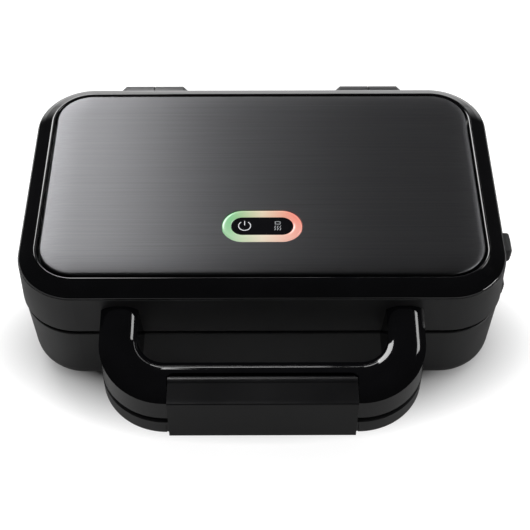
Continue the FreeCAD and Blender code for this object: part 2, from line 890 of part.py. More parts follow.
def indicator_board():
    """Circuit board under the deck."""
    length, width = ring_length / 2 + board_margin, ring_width / 2
    low = lid_top - board_thickness
    board = block(-length, length, indicator_y - width, indicator_y + width, low, lid_top)
    holes = [screw_hole(place, UP, board_thread()) for place in board_screw_seats()]
    return board.cut(Part.makeCompound(holes))


def reflector(floor_low, rim_upward, element_z):
    """Shallow pan with a lip, notches for the element's ends and screw holes in its floor."""
    floor_high = floor_low + pan_sheet
    if rim_upward > 0:
        low, high = floor_low, floor_low + pan_height
        lip_low = high - pan_sheet
        hollow_low, hollow_high = floor_high, high + cut_overrun
    else:
        low, high = floor_high - pan_height, floor_high
        lip_low = low
        hollow_low, hollow_high = low - cut_overrun, floor_low
    outer = plate_block(pan_width, pan_depth, pan_corner, low, high)
    inner_width, inner_depth = pan_width - 2 * pan_sheet, pan_depth - 2 * pan_sheet
    hollow = plate_block(inner_width, inner_depth, pan_corner - pan_sheet, hollow_low, hollow_high)
    lip_width, lip_depth = pan_width + 2 * pan_lip, pan_depth + 2 * pan_lip
    lip = plate_block(lip_width, lip_depth, pan_corner + pan_lip, lip_low, lip_low + pan_sheet)
    cuts = [hollow]
    radius = insulator_radius + running_gap
    notch_heights = sorted((element_z, element_z + rim_upward * pan_height))
    for side in SIDES:
        x = side * terminal_x
        start = V(x, terminal_y - cut_overrun, element_z)
        cuts.append(rod(radius, start, V(x, pan_depth, element_z)))
        cuts.append(block(x - radius, x + radius, start.y, pan_depth, *notch_heights))
    cuts += [screw_hole(V(x, y, floor_low), UP, cut_overrun) for x, y in REFLECTOR_SCREWS]
    return joined([outer, lip]).cut(Part.makeCompound(cuts))


def element_path(height):
    """Centre line of a heating element, in straight runs with rounded turns."""
    turns = [
        (-terminal_x, element_half_y),
        (-element_half_x, element_half_y),
        (-element_half_x, -element_half_y),
        (element_half_x, -element_half_y),
        (element_half_x, element_half_y),
        (terminal_x, element_half_y),
    ]
    points = [V(x, y, height) for x, y in turns]
    ends = [V(-terminal_x, terminal_y, height), V(terminal_x, terminal_y, height)]
    stops = [ends[0]] + points + [ends[1]]
    edges = []
    leave = ends[0]
    for before, tip, after in zip(stops, points, stops[2:]):
        back, onward = unit_to(tip, before), unit_to(tip, after)
        half_angle = back.getAngle(onward) / 2
        reach = element_bend / math.tan(half_angle)
        bisector = unit_to(CENTRE, back + onward)
        middle = tip + bisector * (element_bend / math.sin(half_angle) - element_bend)
        edges.append(Part.LineSegment(leave, tip + back * reach).toShape())
        leave = tip + onward * reach
        edges.append(Part.Arc(tip + back * reach, middle, leave).toShape())
    edges.append(Part.LineSegment(leave, ends[1]).toShape())
    return Part.Wire(edges), ends


def heating_element(height):
    """Sheathed tube with a cold pin at each end."""
    path, ends = element_path(height)
    ring = Part.Wire(Part.makeCircle(element_radius, ends[0], BACK))
    tube = path.makePipeShell([ring], True, False)
    pins = [rod(cold_pin_radius, end, end + BACK * cold_pin_length) for end in ends]
    return joined([tube] + pins)


def element_insulators(height):
    """Ceramic sleeves on the cold pins."""
    sleeves = []
    for side in SIDES:
        start = V(side * terminal_x, terminal_y, height)
        sleeve = rod(insulator_radius, start, start + BACK * insulator_length)
        reach = BACK * (insulator_length + cut_overrun)
        bore = rod(cold_pin_radius + running_gap, start - reach, start + reach)
        sleeves.append(sleeve.cut(bore))
    return sleeves


def element_brackets(floor_z, height):
    """Saddles between a pan's floor and its element, at both sides and at the front."""
    low, high = sorted((floor_z, height))
    along, across = bracket_length / 2, bracket_width / 2
    saddles = []
    for x in SIDES:
        middle = V(x * element_half_x, 0, height)
        saddle = block(middle.x - across, middle.x + across, -along, along, low, high)
        reach = BACK * bracket_width
        saddles.append(saddle.cut(rod(element_radius + running_gap, middle - reach, middle + reach)))
    middle = V(0, -element_half_y, height)
    saddle = block(-along, along, middle.y - across, middle.y + across, low, high)
    reach = RIGHT * bracket_width
    saddles.append(saddle.cut(rod(element_radius + running_gap, middle - reach, middle + reach)))
    return saddles


# Handle lines shared by the handle and its clip
handle_back = handle_front - handle_bar
handle_root_z = lid_top - handle_root_drop
handle_front_z = lid_top - handle_front_drop
handle_slope = (handle_root_z - handle_front_z) / handle_reach
clip_front = handle_front + part_gap + clip_thickness
clip_pivot_y = handle_front - clip_pivot_back


def handle_top(y):
    """Height of the upper handle's sloping top at a distance in front of the middle."""
    return handle_front_z + handle_slope * (handle_front - y)


clip_pivot_z = handle_top(clip_pivot_y) + clip_proud - clip_barrel_radius * math.hypot(1, handle_slope)


def handle_plan(root):
    """U-shaped plan of a handle, from its root on the wall to its front bar."""
    inner = handle_half_width - handle_arm
    return [
        (-handle_half_width, -root),
        (-handle_half_width, -handle_front, handle_outer_radius),
        (handle_half_width, -handle_front, handle_outer_radius),
        (handle_half_width, -root),
        (inner, -root),
        (inner, -handle_back, handle_inner_radius),
        (-inner, -handle_back, handle_inner_radius),
        (-inner, -root),
    ]


def upper_handle():
    """Sloping handle on the lid, with a seat and sockets for the clip."""
    root = half_depth - lid_inner_inset(lid_top)
    skirt_root = half_depth - lid_inset(lid_bottom)
    bar = prism(handle_plan(root), lid_bottom, lid_top)
    bar = joined([bar, prism(handle_plan(skirt_root), handle_low, lid_bottom)])
    front, back = handle_front + cut_overrun, root - cut_overrun
    high = lid_top + cut_overrun
    above = [(-front, handle_top(front)), (-back, handle_top(back)), (-back, high), (-front, high)]
    reach = handle_half_width + cut_overrun
    bar = bar.cut(side_prism(above, -reach, reach))
    top_edges = []
    for edge in bar.Edges:
        on_top = all(abs(v.Z - handle_top(-v.Y)) < running_gap for v in edge.Vertexes)
        at_root = all(-v.Y < root + running_gap for v in edge.Vertexes)
        if on_top and not at_root:
            top_edges.append(edge)
    bar = bar.makeFillet(handle_edge_radius, top_edges)
    wall_line = [(lid_inset(lid_top), lid_top), (lid_inset(lid_bottom), lid_bottom)]
    bar = bar.cut(around(wall_line + [(ring_reach, lid_bottom), (ring_reach, lid_top)]))
    half_seat = clip_width / 2 + part_gap
    sink = clip_thickness - clip_proud + part_gap
    rear = clip_pivot_y - clip_barrel_radius - part_gap
    seat = [
        (-front, handle_top(front) - sink),
        (-rear, handle_top(rear) - sink),
        (-rear, high),
        (-front, high),
    ]
    seat_cut = side_prism(seat, -half_seat, half_seat)
    axis = V(0, -clip_pivot_y, clip_pivot_z)
    trough = rod(clip_barrel_radius + part_gap, axis - RIGHT * half_seat, axis + RIGHT * half_seat)
    above_trough = block(
        -half_seat, half_seat, -clip_pivot_y - clip_barrel_radius, -rear, clip_pivot_z, high
    )
    plan = [(-half_seat, -front), (half_seat, -front)]
    plan += [(half_seat, -rear, clip_rear_rounding), (-half_seat, -rear, clip_rear_rounding)]
    room = joined([seat_cut, above_trough]).common(prism(plan, handle_low, high))
    sockets = rod(
        clip_axle_radius + running_gap, axis - RIGHT * clip_socket_end(), axis + RIGHT * clip_socket_end()
    )
    cuts = [room, trough, sockets]
    cuts += [screw_hole(place, -BACK, handle_screw_length) for place in upper_screw_seats()]
    return bar.cut(Part.makeCompound(cuts))


def clip_socket_end():
    """How far the clip's axle sockets reach from the middle."""
    return clip_width / 2 + clip_axle_length + 2 * part_gap


def lower_handle():
    """Flat lower half of the handle on the base, its front raked back below."""
    root = half_depth - base_inner_inset(lower_handle_low)
    bar = prism(handle_plan(root), lower_handle_low, lower_handle_high)
    low_edges = []
    for edge in bar.Edges:
        box = edge.BoundBox
        at_root = -box.YMin < root + running_gap
        if box.ZMax < lower_handle_low + running_gap and not at_root:
            low_edges.append(edge)
    bar = bar.makeFillet(lower_handle_edge_radius, low_edges)
    front = handle_front + cut_overrun
    raked = handle_front - lower_handle_rake
    ahead = [(-front, lower_handle_low), (-raked, lower_handle_low)]
    ahead += [(-handle_front, lower_handle_high), (-front, lower_handle_high)]
    reach = handle_half_width - handle_outer_radius
    bar = bar.cut(side_prism(ahead, -reach, reach))
    wall_line = [(base_inset(base_top), base_top), (base_inset(base_bottom), base_bottom)]
    bar = bar.cut(around(wall_line + [(ring_reach, base_bottom), (ring_reach, base_top)]))
    holes = [screw_hole(seat, -BACK, handle_screw_length) for seat in lower_screw_seats()]
    return bar.cut(Part.makeCompound(holes))


def handle_clip():
    """Clip that wraps the handle's front, turning on two stub axles."""
    half = clip_width / 2
    inner_face = clip_front - clip_thickness
    rise = clip_proud - clip_thickness
    lip_low = lower_handle_low + clip_foot_rise
    lip_top = lip_low + clip_lip_height
    lip_inner = inner_face - clip_lip_reach
    profile = [
        (-clip_pivot_y, handle_top(clip_pivot_y) + clip_proud),
        (-clip_front, handle_top(clip_front) + clip_proud, clip_outer_rounding),
        (-clip_front, lip_low, clip_outer_rounding),
        (-lip_inner, lip_low, clip_lip_rounding),
        (-lip_inner, lip_top),
        (-inner_face, lip_top + clip_lip_rise),
        (-inner_face, handle_top(inner_face) + rise),
        (-clip_pivot_y, handle_top(clip_pivot_y) + rise),
    ]
    axis = V(0, -clip_pivot_y, clip_pivot_z)
    barrel = rod(clip_barrel_radius, axis - RIGHT * half, axis + RIGHT * half)
    body = joined([side_prism(profile, -half, half), barrel])
    rear = clip_pivot_y - clip_barrel_radius
    plan = [(-half, -clip_front), (half, -clip_front)]
    plan += [(half, -rear, clip_rear_rounding), (-half, -rear, clip_rear_rounding)]
    face = [(-half, lip_low, clip_foot_rounding), (half, lip_low, clip_foot_rounding)]
    face += [(half, lid_top), (-half, lid_top)]
    body = body.common(prism(plan, lip_low, lid_top)).common(front_prism(face, -clip_front, -rear))
    stub_start, stub_end = half - clip_axle_inset, half + clip_axle_length
    stub = rod(clip_axle_radius, axis + RIGHT * stub_start, axis + RIGHT * stub_end)
    return joined([body, stub, mirrored_x(stub)])


def thermostat():
    """Bimetal thermostat under the lower pan."""
    top = V(0, thermostat_y, lower_pan_low)
    cap = rod(thermostat_cap_radius, top - UP * thermostat_cap_height, top)
    return joined([cap, rod(thermostat_radius, top - UP * electrics_height, top)])


def thermal_fuse():
    """Thermal cut-out lying against the lower pan, with its two leads."""
    middle = V(fuse_x, fuse_y, lower_pan_low - fuse_radius)
    half = RIGHT * (fuse_length / 2)
    lead = RIGHT * fuse_lead_length
    body = rod(fuse_radius, middle - half, middle + half)
    return joined([body, rod(fuse_lead_radius, middle - half - lead, middle + half + lead)])


def terminal_block():
    """Connector block on the floor, bored for its wires."""
    x_low, y_low = block_x - block_length / 2, block_y - block_width / 2
    x_high, y_high = x_low + block_length, y_low + block_width
    body = block(x_low, x_high, y_low, y_high, floor_top, floor_top + electrics_height)
    step = block_length / block_ways
    bore_radius = electrics_height * block_bore_share / 2
    bores = []
    for way in range(block_ways):
        start = V(x_low + step / 2 + step * way, y_low - cut_overrun, floor_top + electrics_height / 2)
        bores.append(rod(bore_radius, start, start + BACK * (block_width + 2 * cut_overrun)))
    return body.cut(Part.makeCompound(bores))


os.makedirs("parts", exist_ok=True)

# From the middle of the body to the middle of the whole
lid_half_width = half_width - lid_inset(lid_bottom)
whole_shift = V(lid_half_width - button_outer, clip_front - hinge_y - hinge_radius, 0) / 2

# Inner wall faces that the release buttons bear on
base_wall_face = half_width - base_inner_inset(lower_button_low)
lid_wall_face = half_width - lid_inner_inset(upper_button_low + stem_drop + stem_thickness)

keep("base_shell", base_shell())
keep("feet", *[foot(x, y) for x, y in DIAGONALS])
keep("left_hinge_pin", hinge_pin(-1))
keep("right_hinge_pin", hinge_pin(1))
keep("cord_grommet", cord_grommet())
keep("lower_reflector", reflector(lower_pan_low, 1, lower_element_z))
keep(
    "lower_reflector_screws",
    *[screw(V(x, y, lower_pan_top), -UP, reflector_screw_length) for x, y in REFLECTOR_SCREWS],
)
keep("lower_element", heating_element(lower_element_z))
keep("lower_element_insulators", *element_insulators(lower_element_z))
keep("lower_element_brackets", *element_brackets(lower_pan_top, lower_element_z))
keep("lower_plate", cooking_plate(lower_pocket_drop).translated(UP * lower_plate_face))
keep("lower_handle", lower_handle())
keep("lower_handle_screws", *[screw(seat, -BACK, handle_screw_length) for seat in lower_screw_seats()])
keep("thermostat", thermostat())
keep("thermal_fuse", thermal_fuse())
keep("terminal_block", terminal_block())
keep(
    "lower_release_button",
    release_button(lower_button_low, base_wall_face, nose_heights(lower_plate_face, -1)),
)
keep("lower_release_spring", release_spring(lower_button_low, base_wall_face))

keep("lid_shell", lid_shell())
keep("lid_bezel", lid_bezel())
lid_screw_z = lid_top - lid_flange_thickness
keep("lid_screws", *[screw(V(x, y, lid_screw_z), UP, lid_screw_length) for x, y in LID_SCREWS])
keep("lid_panel", lid_panel())
keep("indicator_ring", indicator_ring())
keep("indicator_window", indicator_window())
keep("indicator_board", indicator_board())
keep("board_screws", *[screw(place, UP, board_thread(), board_screw_head) for place in board_screw_seats()])
keep("power_led", rod(led_radius, *led_span(-1, 0)))
keep("ready_led", rod(led_radius, *led_span(1, 0)))
keep("upper_reflector", reflector(upper_pan_low, -1, upper_element_z))
keep(
    "upper_reflector_screws",
    *[screw(V(x, y, upper_pan_low), UP, upper_reflector_thread()) for x, y in REFLECTOR_SCREWS],
)
keep("upper_element", heating_element(upper_element_z))
keep("upper_element_insulators", *element_insulators(upper_element_z))
keep("upper_element_brackets", *element_brackets(upper_pan_low, upper_element_z))
keep("upper_plate", cooking_plate(upper_pocket_drop).mirror(CENTRE, UP).translated(UP * upper_plate_face))
keep("upper_handle", upper_handle())
keep("upper_handle_screws", *[screw(seat, -BACK, handle_screw_length) for seat in upper_screw_seats()])
keep(
    "upper_release_button",
    release_button(upper_button_low, lid_wall_face, nose_heights(upper_plate_face, 1)),
)
keep("upper_release_spring", release_spring(upper_button_low, lid_wall_face))
keep("handle_clip", handle_clip())
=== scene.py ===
"""Dresses the packed sandwich maker: panel, rim, arched handle, clip, light ring, finishes and studio."""

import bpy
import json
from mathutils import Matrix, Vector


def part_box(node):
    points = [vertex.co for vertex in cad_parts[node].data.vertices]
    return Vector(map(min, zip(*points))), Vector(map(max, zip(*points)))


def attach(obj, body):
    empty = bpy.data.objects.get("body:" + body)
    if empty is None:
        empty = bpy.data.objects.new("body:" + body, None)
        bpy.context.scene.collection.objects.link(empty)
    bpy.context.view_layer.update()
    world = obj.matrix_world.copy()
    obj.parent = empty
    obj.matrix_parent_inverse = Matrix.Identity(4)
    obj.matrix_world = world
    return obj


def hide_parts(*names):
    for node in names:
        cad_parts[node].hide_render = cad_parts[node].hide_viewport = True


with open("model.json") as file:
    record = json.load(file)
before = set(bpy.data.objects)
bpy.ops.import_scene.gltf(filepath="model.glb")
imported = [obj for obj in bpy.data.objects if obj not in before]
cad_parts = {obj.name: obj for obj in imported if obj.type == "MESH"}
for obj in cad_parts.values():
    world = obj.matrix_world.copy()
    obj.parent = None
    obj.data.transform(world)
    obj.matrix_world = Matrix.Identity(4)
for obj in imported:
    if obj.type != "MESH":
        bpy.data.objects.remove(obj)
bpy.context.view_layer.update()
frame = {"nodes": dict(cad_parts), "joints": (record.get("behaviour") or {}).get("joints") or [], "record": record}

import json
import math

import bmesh
import bpy
from mathutils import Euler, Vector

bl_info = {
    "name": "Sandwich maker",
    "version": (1, 0, 0),
    "blender": (4, 5, 0),
    "location": "View3D > Sidebar > Sandwich maker",
    "description": "Models and finishes a countertop sandwich maker around its solids",
    "category": "Object",
}

MM = 0.001

# How far a cutter reaches past what it cuts
OVERRUN = 20 * MM
# How near counts as the same place
TOUCH = 0.01 * MM
# How far a steep wall leans, so that an inset can make it
DRAFT = 0.05 * MM
# Least part of a face's normal along the axis that it looks along
FACING = 0.9
# Sockets of a Mix node for its two colours and its result, which share their names with others
MIX_A, MIX_B, MIX_RESULT = 6, 7, 2

# Places read from the solids, in metres
RIM_LOW, RIM_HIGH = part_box("lid_bezel")
RIM_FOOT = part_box("lid_shell")[1].z
PANEL_LOW, PANEL_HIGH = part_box("lid_panel")
RING_LOW, RING_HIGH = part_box("indicator_ring")
WINDOW_LOW, WINDOW_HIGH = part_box("indicator_window")
GRIP_LOW, GRIP_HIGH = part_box("upper_handle")
CLIP_LOW, CLIP_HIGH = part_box("handle_clip")
MIDDLE = (RIM_LOW + RIM_HIGH) / 2
CLIP_PIVOT = Vector(next(j["pos_m"] for j in frame["joints"] if j["name"] == "clip_hinge"))


def linear_colour(hex_code):
    """Linear red, green, blue and alpha of an sRGB hex colour."""
    channels = [int(hex_code[place:place + 2], 16) / 255 for place in (1, 3, 5)]
    lit = [c / 12.92 if c <= 0.04045 else ((c + 0.055) / 1.055) ** 2.4 for c in channels]
    return (*lit, 1.0)


def length(name, description, millimetres):
    """A length that a user may change."""
    return bpy.props.FloatProperty(
        name=name, description=description, default=millimetres * MM, unit="LENGTH", precision=4
    )


def colour(name, description, hex_code):
    """A colour that a user may change."""
    return bpy.props.FloatVectorProperty(
        name=name, description=description, default=linear_colour(hex_code), subtype="COLOR",
        size=4, min=0, max=1,
    )


def power(name, description, watts):
    """A lamp's power that a user may change."""
    return bpy.props.FloatProperty(name=name, description=description, default=watts, unit="POWER")


class PanelSizes(bpy.types.PropertyGroup):
    """Form of the steel panel"""

    corner: length("Corner", "Plan radius of the panel's corners", 21.95)
    pillow: length("Pillow width", "How far the edge's fall reaches inwards", 17.0)
    fall: length("Pillow fall", "How far the panel falls towards its edge", 0.95)
    roll: length("Edge roll", "Radius of the rolled edge", 1.3)
    ring_fit: length("Ring fit", "Gap between the light ring and its opening", 0.5)


class RimSizes(bpy.types.PropertyGroup):
    """Form of the polished rim round the panel"""

    corner: length("Corner", "Plan radius of the rim's corners", 35.0)
    width: length("Width", "Width of the sloping rim", 11.75)
    edge_height: length("Edge height", "Height of the upright outer edge", 1.2)
    shoulder: length("Shoulder", "How far inwards the slope eases", 4.5)
    shoulder_height: length("Shoulder height", "Height at which the slope eases", 4.2)
    height: length("Height", "Height that the slope aims at by the panel", 8.0)
    outer_round: length("Outer rounding", "Radius of the outer edge", 2.0)
    shoulder_round: length("Shoulder rounding", "Radius at which the slope eases", 9.0)
    inner_round: length("Inner rounding", "Radius of the edge by the panel", 1.5)


class HandleSizes(bpy.types.PropertyGroup):
    """Form of the arched upper handle"""

    arm: length("Arm width", "Width of each arm", 19.0)
    bar: length("Bar width", "Width of the front bar", 25.5)
    outer_corner: length("Outer corner", "Plan radius outside", 39.0)
    inner_corner: length("Inner corner", "Plan radius inside", 17.0)
    crown: length("Crown", "How far the arched top rises over its edges", 3.3)
    edge: length("Edge", "Most that the other edges are rounded, which short edges hold back", 1.2)
    lean: length("Lean", "How far the arms' inner sides lean in below", 2.0)
    front_drop: length("Front drop", "How far the front lies below the root", 9.0)


class ClipSizes(bpy.types.PropertyGroup):
    """Form of the swinging clip"""

    thickness: length("Thickness", "Thickness of the clip's plate", 2.6)
    bend: length("Bend", "Radius of the bend over the handle", 0.8)
    corner: length("Corner", "Plan radius of the rear corners", 4.0)
    edge: length("Edge", "Most that the edges are rounded, which short edges hold back", 0.7)
    barrel: length("Barrel", "Radius of the pivot barrel", 4.0)
    axle: length("Axle", "How far the axle stands out of each side", 3.0)
    seat_gap: length("Seat gap", "Gap between the clip and its seat in the handle", 0.4)
    lip: length("Lip", "How far the lip at the foot reaches back", 1.1)
    lip_height: length("Lip height", "Height of the lip", 4.6)


class IndicatorSizes(bpy.types.PropertyGroup):
    """Form of the light ring and the marks in its window"""

    band: length("Band", "Width of the lit band", 5.2)
    dome: length("Dome", "How far the lit band's edges fall", 0.5)
    power_radius: length("Power mark", "Radius of the power mark", 3.6)
    heat_width: length("Heat mark", "Width of the heat mark", 4.6)
    stroke: length("Stroke", "Width of the marks' lines", 0.5)
    print_height: length("Print height", "How far the marks stand off the window", 0.05)
    well: length("Well", "Depth of the ring's well round the window", 2.0)
    window_foot: length("Window foot", "How far below the ring's top the window starts", 2.2)
    window_edge: length("Window edge", "Rounding of the window's edges", 0.3)


class GripSizes(bpy.types.PropertyGroup):
    """Form of the ribs on the release buttons"""

    rib_length: length("Rib length", "Length of a rib across the button", 10.4)
    rib_height: length("Rib height", "Height of a rib", 0.9)
    rib_pitch: length("Rib pitch", "Distance from rib to rib", 1.9)
    rib_stand: length("Rib stand", "How far a rib stands out of the button, and reaches into it", 0.5)
    rib_edge: length("Rib edge", "Rounding of a rib's edges", 0.35)


class FinishColours(bpy.types.PropertyGroup):
    """Colours of the finishes"""

    satin: colour("Satin plastic", "Moulded body shells and lower handle", "#1a1a1b")
    gloss: colour("Gloss plastic", "Rim and upper handle", "#040405")
    clip: colour("Clip plastic", "Swinging clip", "#070708")
    steel: colour("Black steel", "Brushed panel", "#6a6a6c")
    coating: colour("Non-stick coat", "Cooking plates", "#232325")
    green: colour("Green light", "Left end of the light ring", "#5fc67c")
    cream: colour("Cream light", "Middle of the light ring", "#e6d3b4")
    red: colour("Red light", "Right end of the light ring", "#fb7f6c")


class StudioLevels(bpy.types.PropertyGroup):
    """Lamps of the studio"""

    left_box: power("Left softbox", "Large soft light behind, on the left", 22.0)
    right_box: power("Right softbox", "Small soft light on the right", 3.3)
    back_strip: power("Back strip", "Thin light behind, which draws the edges", 1.0)
    right_strip: power("Right strip", "Thin light behind on the right, which draws the bends", 0.5)
    right_low: power("Right low", "Low light on the right, seen only as shine on the rim's corner", 3.0)
    overhead: power("Overhead", "Broad light above, which shapes the shadows", 44.0)


# Modelling steps shared by the pieces


def start_piece(name, primitive, **settings):
    """Add a primitive as the start of a piece, with its place and size in its mesh."""
    if bpy.context.mode != "OBJECT":
        raise RuntimeError(f"{name} was started while another piece was being edited")
    bpy.ops.object.select_all(action="DESELECT")
    primitive(**settings)
    piece = bpy.context.object
    piece.name = name
    piece.data.name = name
    bpy.ops.object.transform_apply(location=True, rotation=True, scale=True)
    return piece


def start_block(name, low, high):
    """Add a box between two corners as the start of a piece."""
    low, high = Vector(low), Vector(high)
    cube = bpy.ops.mesh.primitive_cube_add
    return start_piece(name, cube, size=1, location=(low + high) / 2, scale=high - low)


def pick_only(piece):
    """Make a piece the one that is picked and active."""
    bpy.ops.object.select_all(action="DESELECT")
    bpy.context.view_layer.objects.active = piece
    piece.select_set(True)


def edit(piece, kind="FACE"):
    """Open a piece for editing by faces, edges or corners, with nothing picked."""
    pick_only(piece)
    bpy.ops.object.mode_set(mode="EDIT")
    bpy.ops.mesh.select_mode(type=kind)
    bpy.ops.mesh.select_all(action="DESELECT")


def done():
    """Close the piece that is being edited."""
    bpy.ops.object.mode_set(mode="OBJECT")


def pick_faces(piece, test):
    """Pick the faces whose middle and normal pass a test."""
    mesh = bmesh.from_edit_mesh(piece.data)
    for face in mesh.faces:
        face.select_set(test(face.calc_center_median(), face.normal))
    mesh.select_flush_mode()
    bmesh.update_edit_mesh(piece.data)


def pick_edges(piece, test):
    """Pick the edges whose two ends pass a test."""
    mesh = bmesh.from_edit_mesh(piece.data)
    for edge in mesh.edges:
        edge.select_set(test(edge.verts[0].co, edge.verts[1].co))
    mesh.select_flush_mode()
    bmesh.update_edit_mesh(piece.data)


def pick_corners(piece, test):
    """Pick the corners whose place passes a test."""
    mesh = bmesh.from_edit_mesh(piece.data)
    for corner in mesh.verts:
        corner.select_set(test(corner.co))
    mesh.select_flush_mode()
    bmesh.update_edit_mesh(piece.data)


def looks_up(middle, normal):
    """Whether a face looks up."""
    return normal.z > FACING


def upright(first, second):
    """Whether an edge stands on end."""
    step = second - first
    return abs(step.z) > 2 * math.hypot(step.x, step.y)


def round_corners(piece, radius, test=None, segments=18):
    """Round the upright edges of a block, or those whose middle passes a test."""
    edit(piece, "EDGE")
    pick_edges(piece, lambda a, b: upright(a, b) and (test is None or test((a + b) / 2)))
    bpy.ops.mesh.bevel(offset=radius, segments=segments, affect="EDGES", clamp_overlap=False)
    done()


def step_inwards(steps):
    """Inset the picked faces of the open piece again and again, each step an inset and a rise."""
    for inset, rise in steps:
        bpy.ops.mesh.inset(thickness=inset, depth=rise, use_even_offset=True, use_boundary=True)


def arc_steps(radius, start, end, count):
    """Insets and rises along an arc between two angles, from the side of a round form up to its top."""
    angles = [start + (end - start) * step / count for step in range(count + 1)]
    return [
        (radius * (math.cos(low) - math.cos(high)), radius * (math.sin(high) - math.sin(low)))
        for low, high in zip(angles, angles[1:])
    ]


def apply_modifier(piece, kind, **settings):
    """Add a modifier to a piece and apply it."""
    pick_only(piece)
    modifier = piece.modifiers.new(kind.title(), kind)
    for name, value in settings.items():
        setattr(modifier, name, value)
    bpy.ops.object.modifier_apply(modifier=modifier.name)


def cut(piece, cutter, operation="DIFFERENCE"):
    """Cut a piece with another, or join it on, and remove the other."""
    apply_modifier(piece, "BOOLEAN", object=cutter, operation=operation, solver="EXACT")
    mesh = cutter.data
    bpy.data.objects.remove(cutter)
    bpy.data.meshes.remove(mesh)


def smooth(piece, angle=32.0):
    """Smooth the faces that meet at less than an angle in degrees."""
    pick_only(piece)
    bpy.ops.object.shade_smooth_by_angle(angle=math.radians(angle))


def even_out(piece):
    """Let a piece's large faces set the shading of the small ones beside them."""
    apply_modifier(piece, "WEIGHTED_NORMAL", weight=70, keep_sharp=True)


def soften(piece, width, angle=30.0):
    """Round the edges that are sharper than an angle in degrees, as far as short edges let it, and smooth."""
    apply_modifier(
        piece, "BEVEL", width=width, segments=3, limit_method="ANGLE", angle_limit=math.radians(angle),
        use_clamp_overlap=True, harden_normals=False, miter_outer="MITER_ARC",
    )
    smooth(piece)
    even_out(piece)


def finish_piece(piece, body, slot, material, *nodes):
    """Give a piece the material of a name, its body and the nodes that it stands for."""
    piece.data.materials.clear()
    piece.data.materials.append(bpy.data.materials[material])
    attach(piece, body)
    if nodes:
        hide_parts(*nodes)


# Materials


def add_node(tree, kind, inputs=None, **settings):
    """Add a node with its settings. Inputs are values, or the outputs of other nodes."""
    node = tree.nodes.new(kind)
    for name, value in settings.items():
        setattr(node, name, value)
    for name, value in (inputs or {}).items():
        if isinstance(value, bpy.types.NodeSocket):
            tree.links.new(value, node.inputs[name])
        else:
            node.inputs[name].default_value = value
    return node


def start_material(name, **values):
    """A new material with its surface shader."""
    material = bpy.data.materials.new(name)
    material.use_nodes = True
    tree = material.node_tree
    tree.nodes.clear()
    shader = add_node(tree, "ShaderNodeBsdfPrincipled", values)
    add_node(tree, "ShaderNodeOutputMaterial", {"Surface": shader.outputs["BSDF"]})
    return material, tree, shader


def mottle(
    tree, shader, size_mm, detail, base=None, shades=None, roughness=None, strength=None, depth_mm=0.02,
    spread=(0.3, 0.7), stretch=(1.0, 1.0, 1.0),
):
    """Let a noise, with features of a size in millimetres, vary a shader's colour, roughness or height.

    Shades are the darkest and lightest shares of the base colour, and spread is the span of the noise that
    they and the roughness run over. Strength and depth shape the height. Stretch draws the features out.
    """
    place = add_node(tree, "ShaderNodeTexCoord")
    scale = [1 / (size_mm * MM * share) for share in stretch]
    mapping = add_node(tree, "ShaderNodeMapping", {"Vector": place.outputs["Object"], "Scale": scale})
    noise = add_node(
        tree, "ShaderNodeTexNoise", {"Vector": mapping.outputs["Vector"], "Scale": 1.0, "Detail": detail}
    )
    grain = noise.outputs["Fac"]
    span = {"Value": grain, "From Min": spread[0], "From Max": spread[1]}
    if shades:
        factor = add_node(tree, "ShaderNodeMapRange", span)
        dark, light = [(*(min(channel * shade, 1.0) for channel in base[:3]), 1.0) for shade in shades]
        mix = add_node(
            tree, "ShaderNodeMix", {"Factor": factor.outputs["Result"], MIX_A: dark, MIX_B: light},
            data_type="RGBA",
        )
        tree.links.new(mix.outputs[MIX_RESULT], shader.inputs["Base Color"])
    if roughness:
        low, high = roughness
        dulled = add_node(tree, "ShaderNodeMapRange", {**span, "To Min": low, "To Max": high})
        tree.links.new(dulled.outputs["Result"], shader.inputs["Roughness"])
    if strength:
        bump = add_node(
            tree, "ShaderNodeBump", {"Height": grain, "Strength": strength, "Distance": depth_mm * MM}
        )
        tree.links.new(bump.outputs["Normal"], shader.inputs["Normal"])


def satin_abs(name, base, roughness=(0.36, 0.48), ior=1.5):
    """ABS moulded in a spark-eroded tool: a fine even grain that turns reflections to a soft sheen."""
    material, tree, shader = start_material(name, IOR=ior)
    mottle(tree, shader, size_mm=35.0, detail=2.0, base=base, shades=(0.85, 1.15), roughness=roughness)
    # The real grain is about 0.1 mm, drawn at 0.7 mm so that it shows
    mottle(tree, shader, size_mm=0.7, detail=4.0, strength=0.25)
    return material


def gloss_abs(name, base):
    """ABS from a polished tool: a deep black mirror with the faint flow waves of moulding."""
    material, tree, shader = start_material(name, IOR=1.5)
    mottle(tree, shader, size_mm=22.0, detail=2.0, base=base, shades=(0.8, 1.2), strength=0.3)
    mottle(tree, shader, size_mm=6.0, detail=4.0, roughness=(0.045, 0.09))
    return material


def brushed_black_steel(name, base):
    """Stainless sheet, belt-brushed from side to side and tinted black: streaks that stretch reflections."""
    material, tree, shader = start_material(name, Metallic=1.0, Anisotropic=0.86)
    # Real brush lines are about 0.1 mm apart, drawn at 0.5 mm so that they show
    mottle(
        tree, shader, size_mm=0.5, detail=4.0, stretch=(160.0, 1.0, 1.0),
        base=base, shades=(0.9, 1.1), roughness=(0.41, 0.45), strength=0.1,
    )
    # Reflections stretch across the brush lines, which run from side to side
    across = add_node(
        tree, "ShaderNodeVectorTransform", {"Vector": (0, 1, 0)}, convert_from="OBJECT", convert_to="WORLD"
    )
    tree.links.new(across.outputs["Vector"], shader.inputs["Tangent"])
    return material


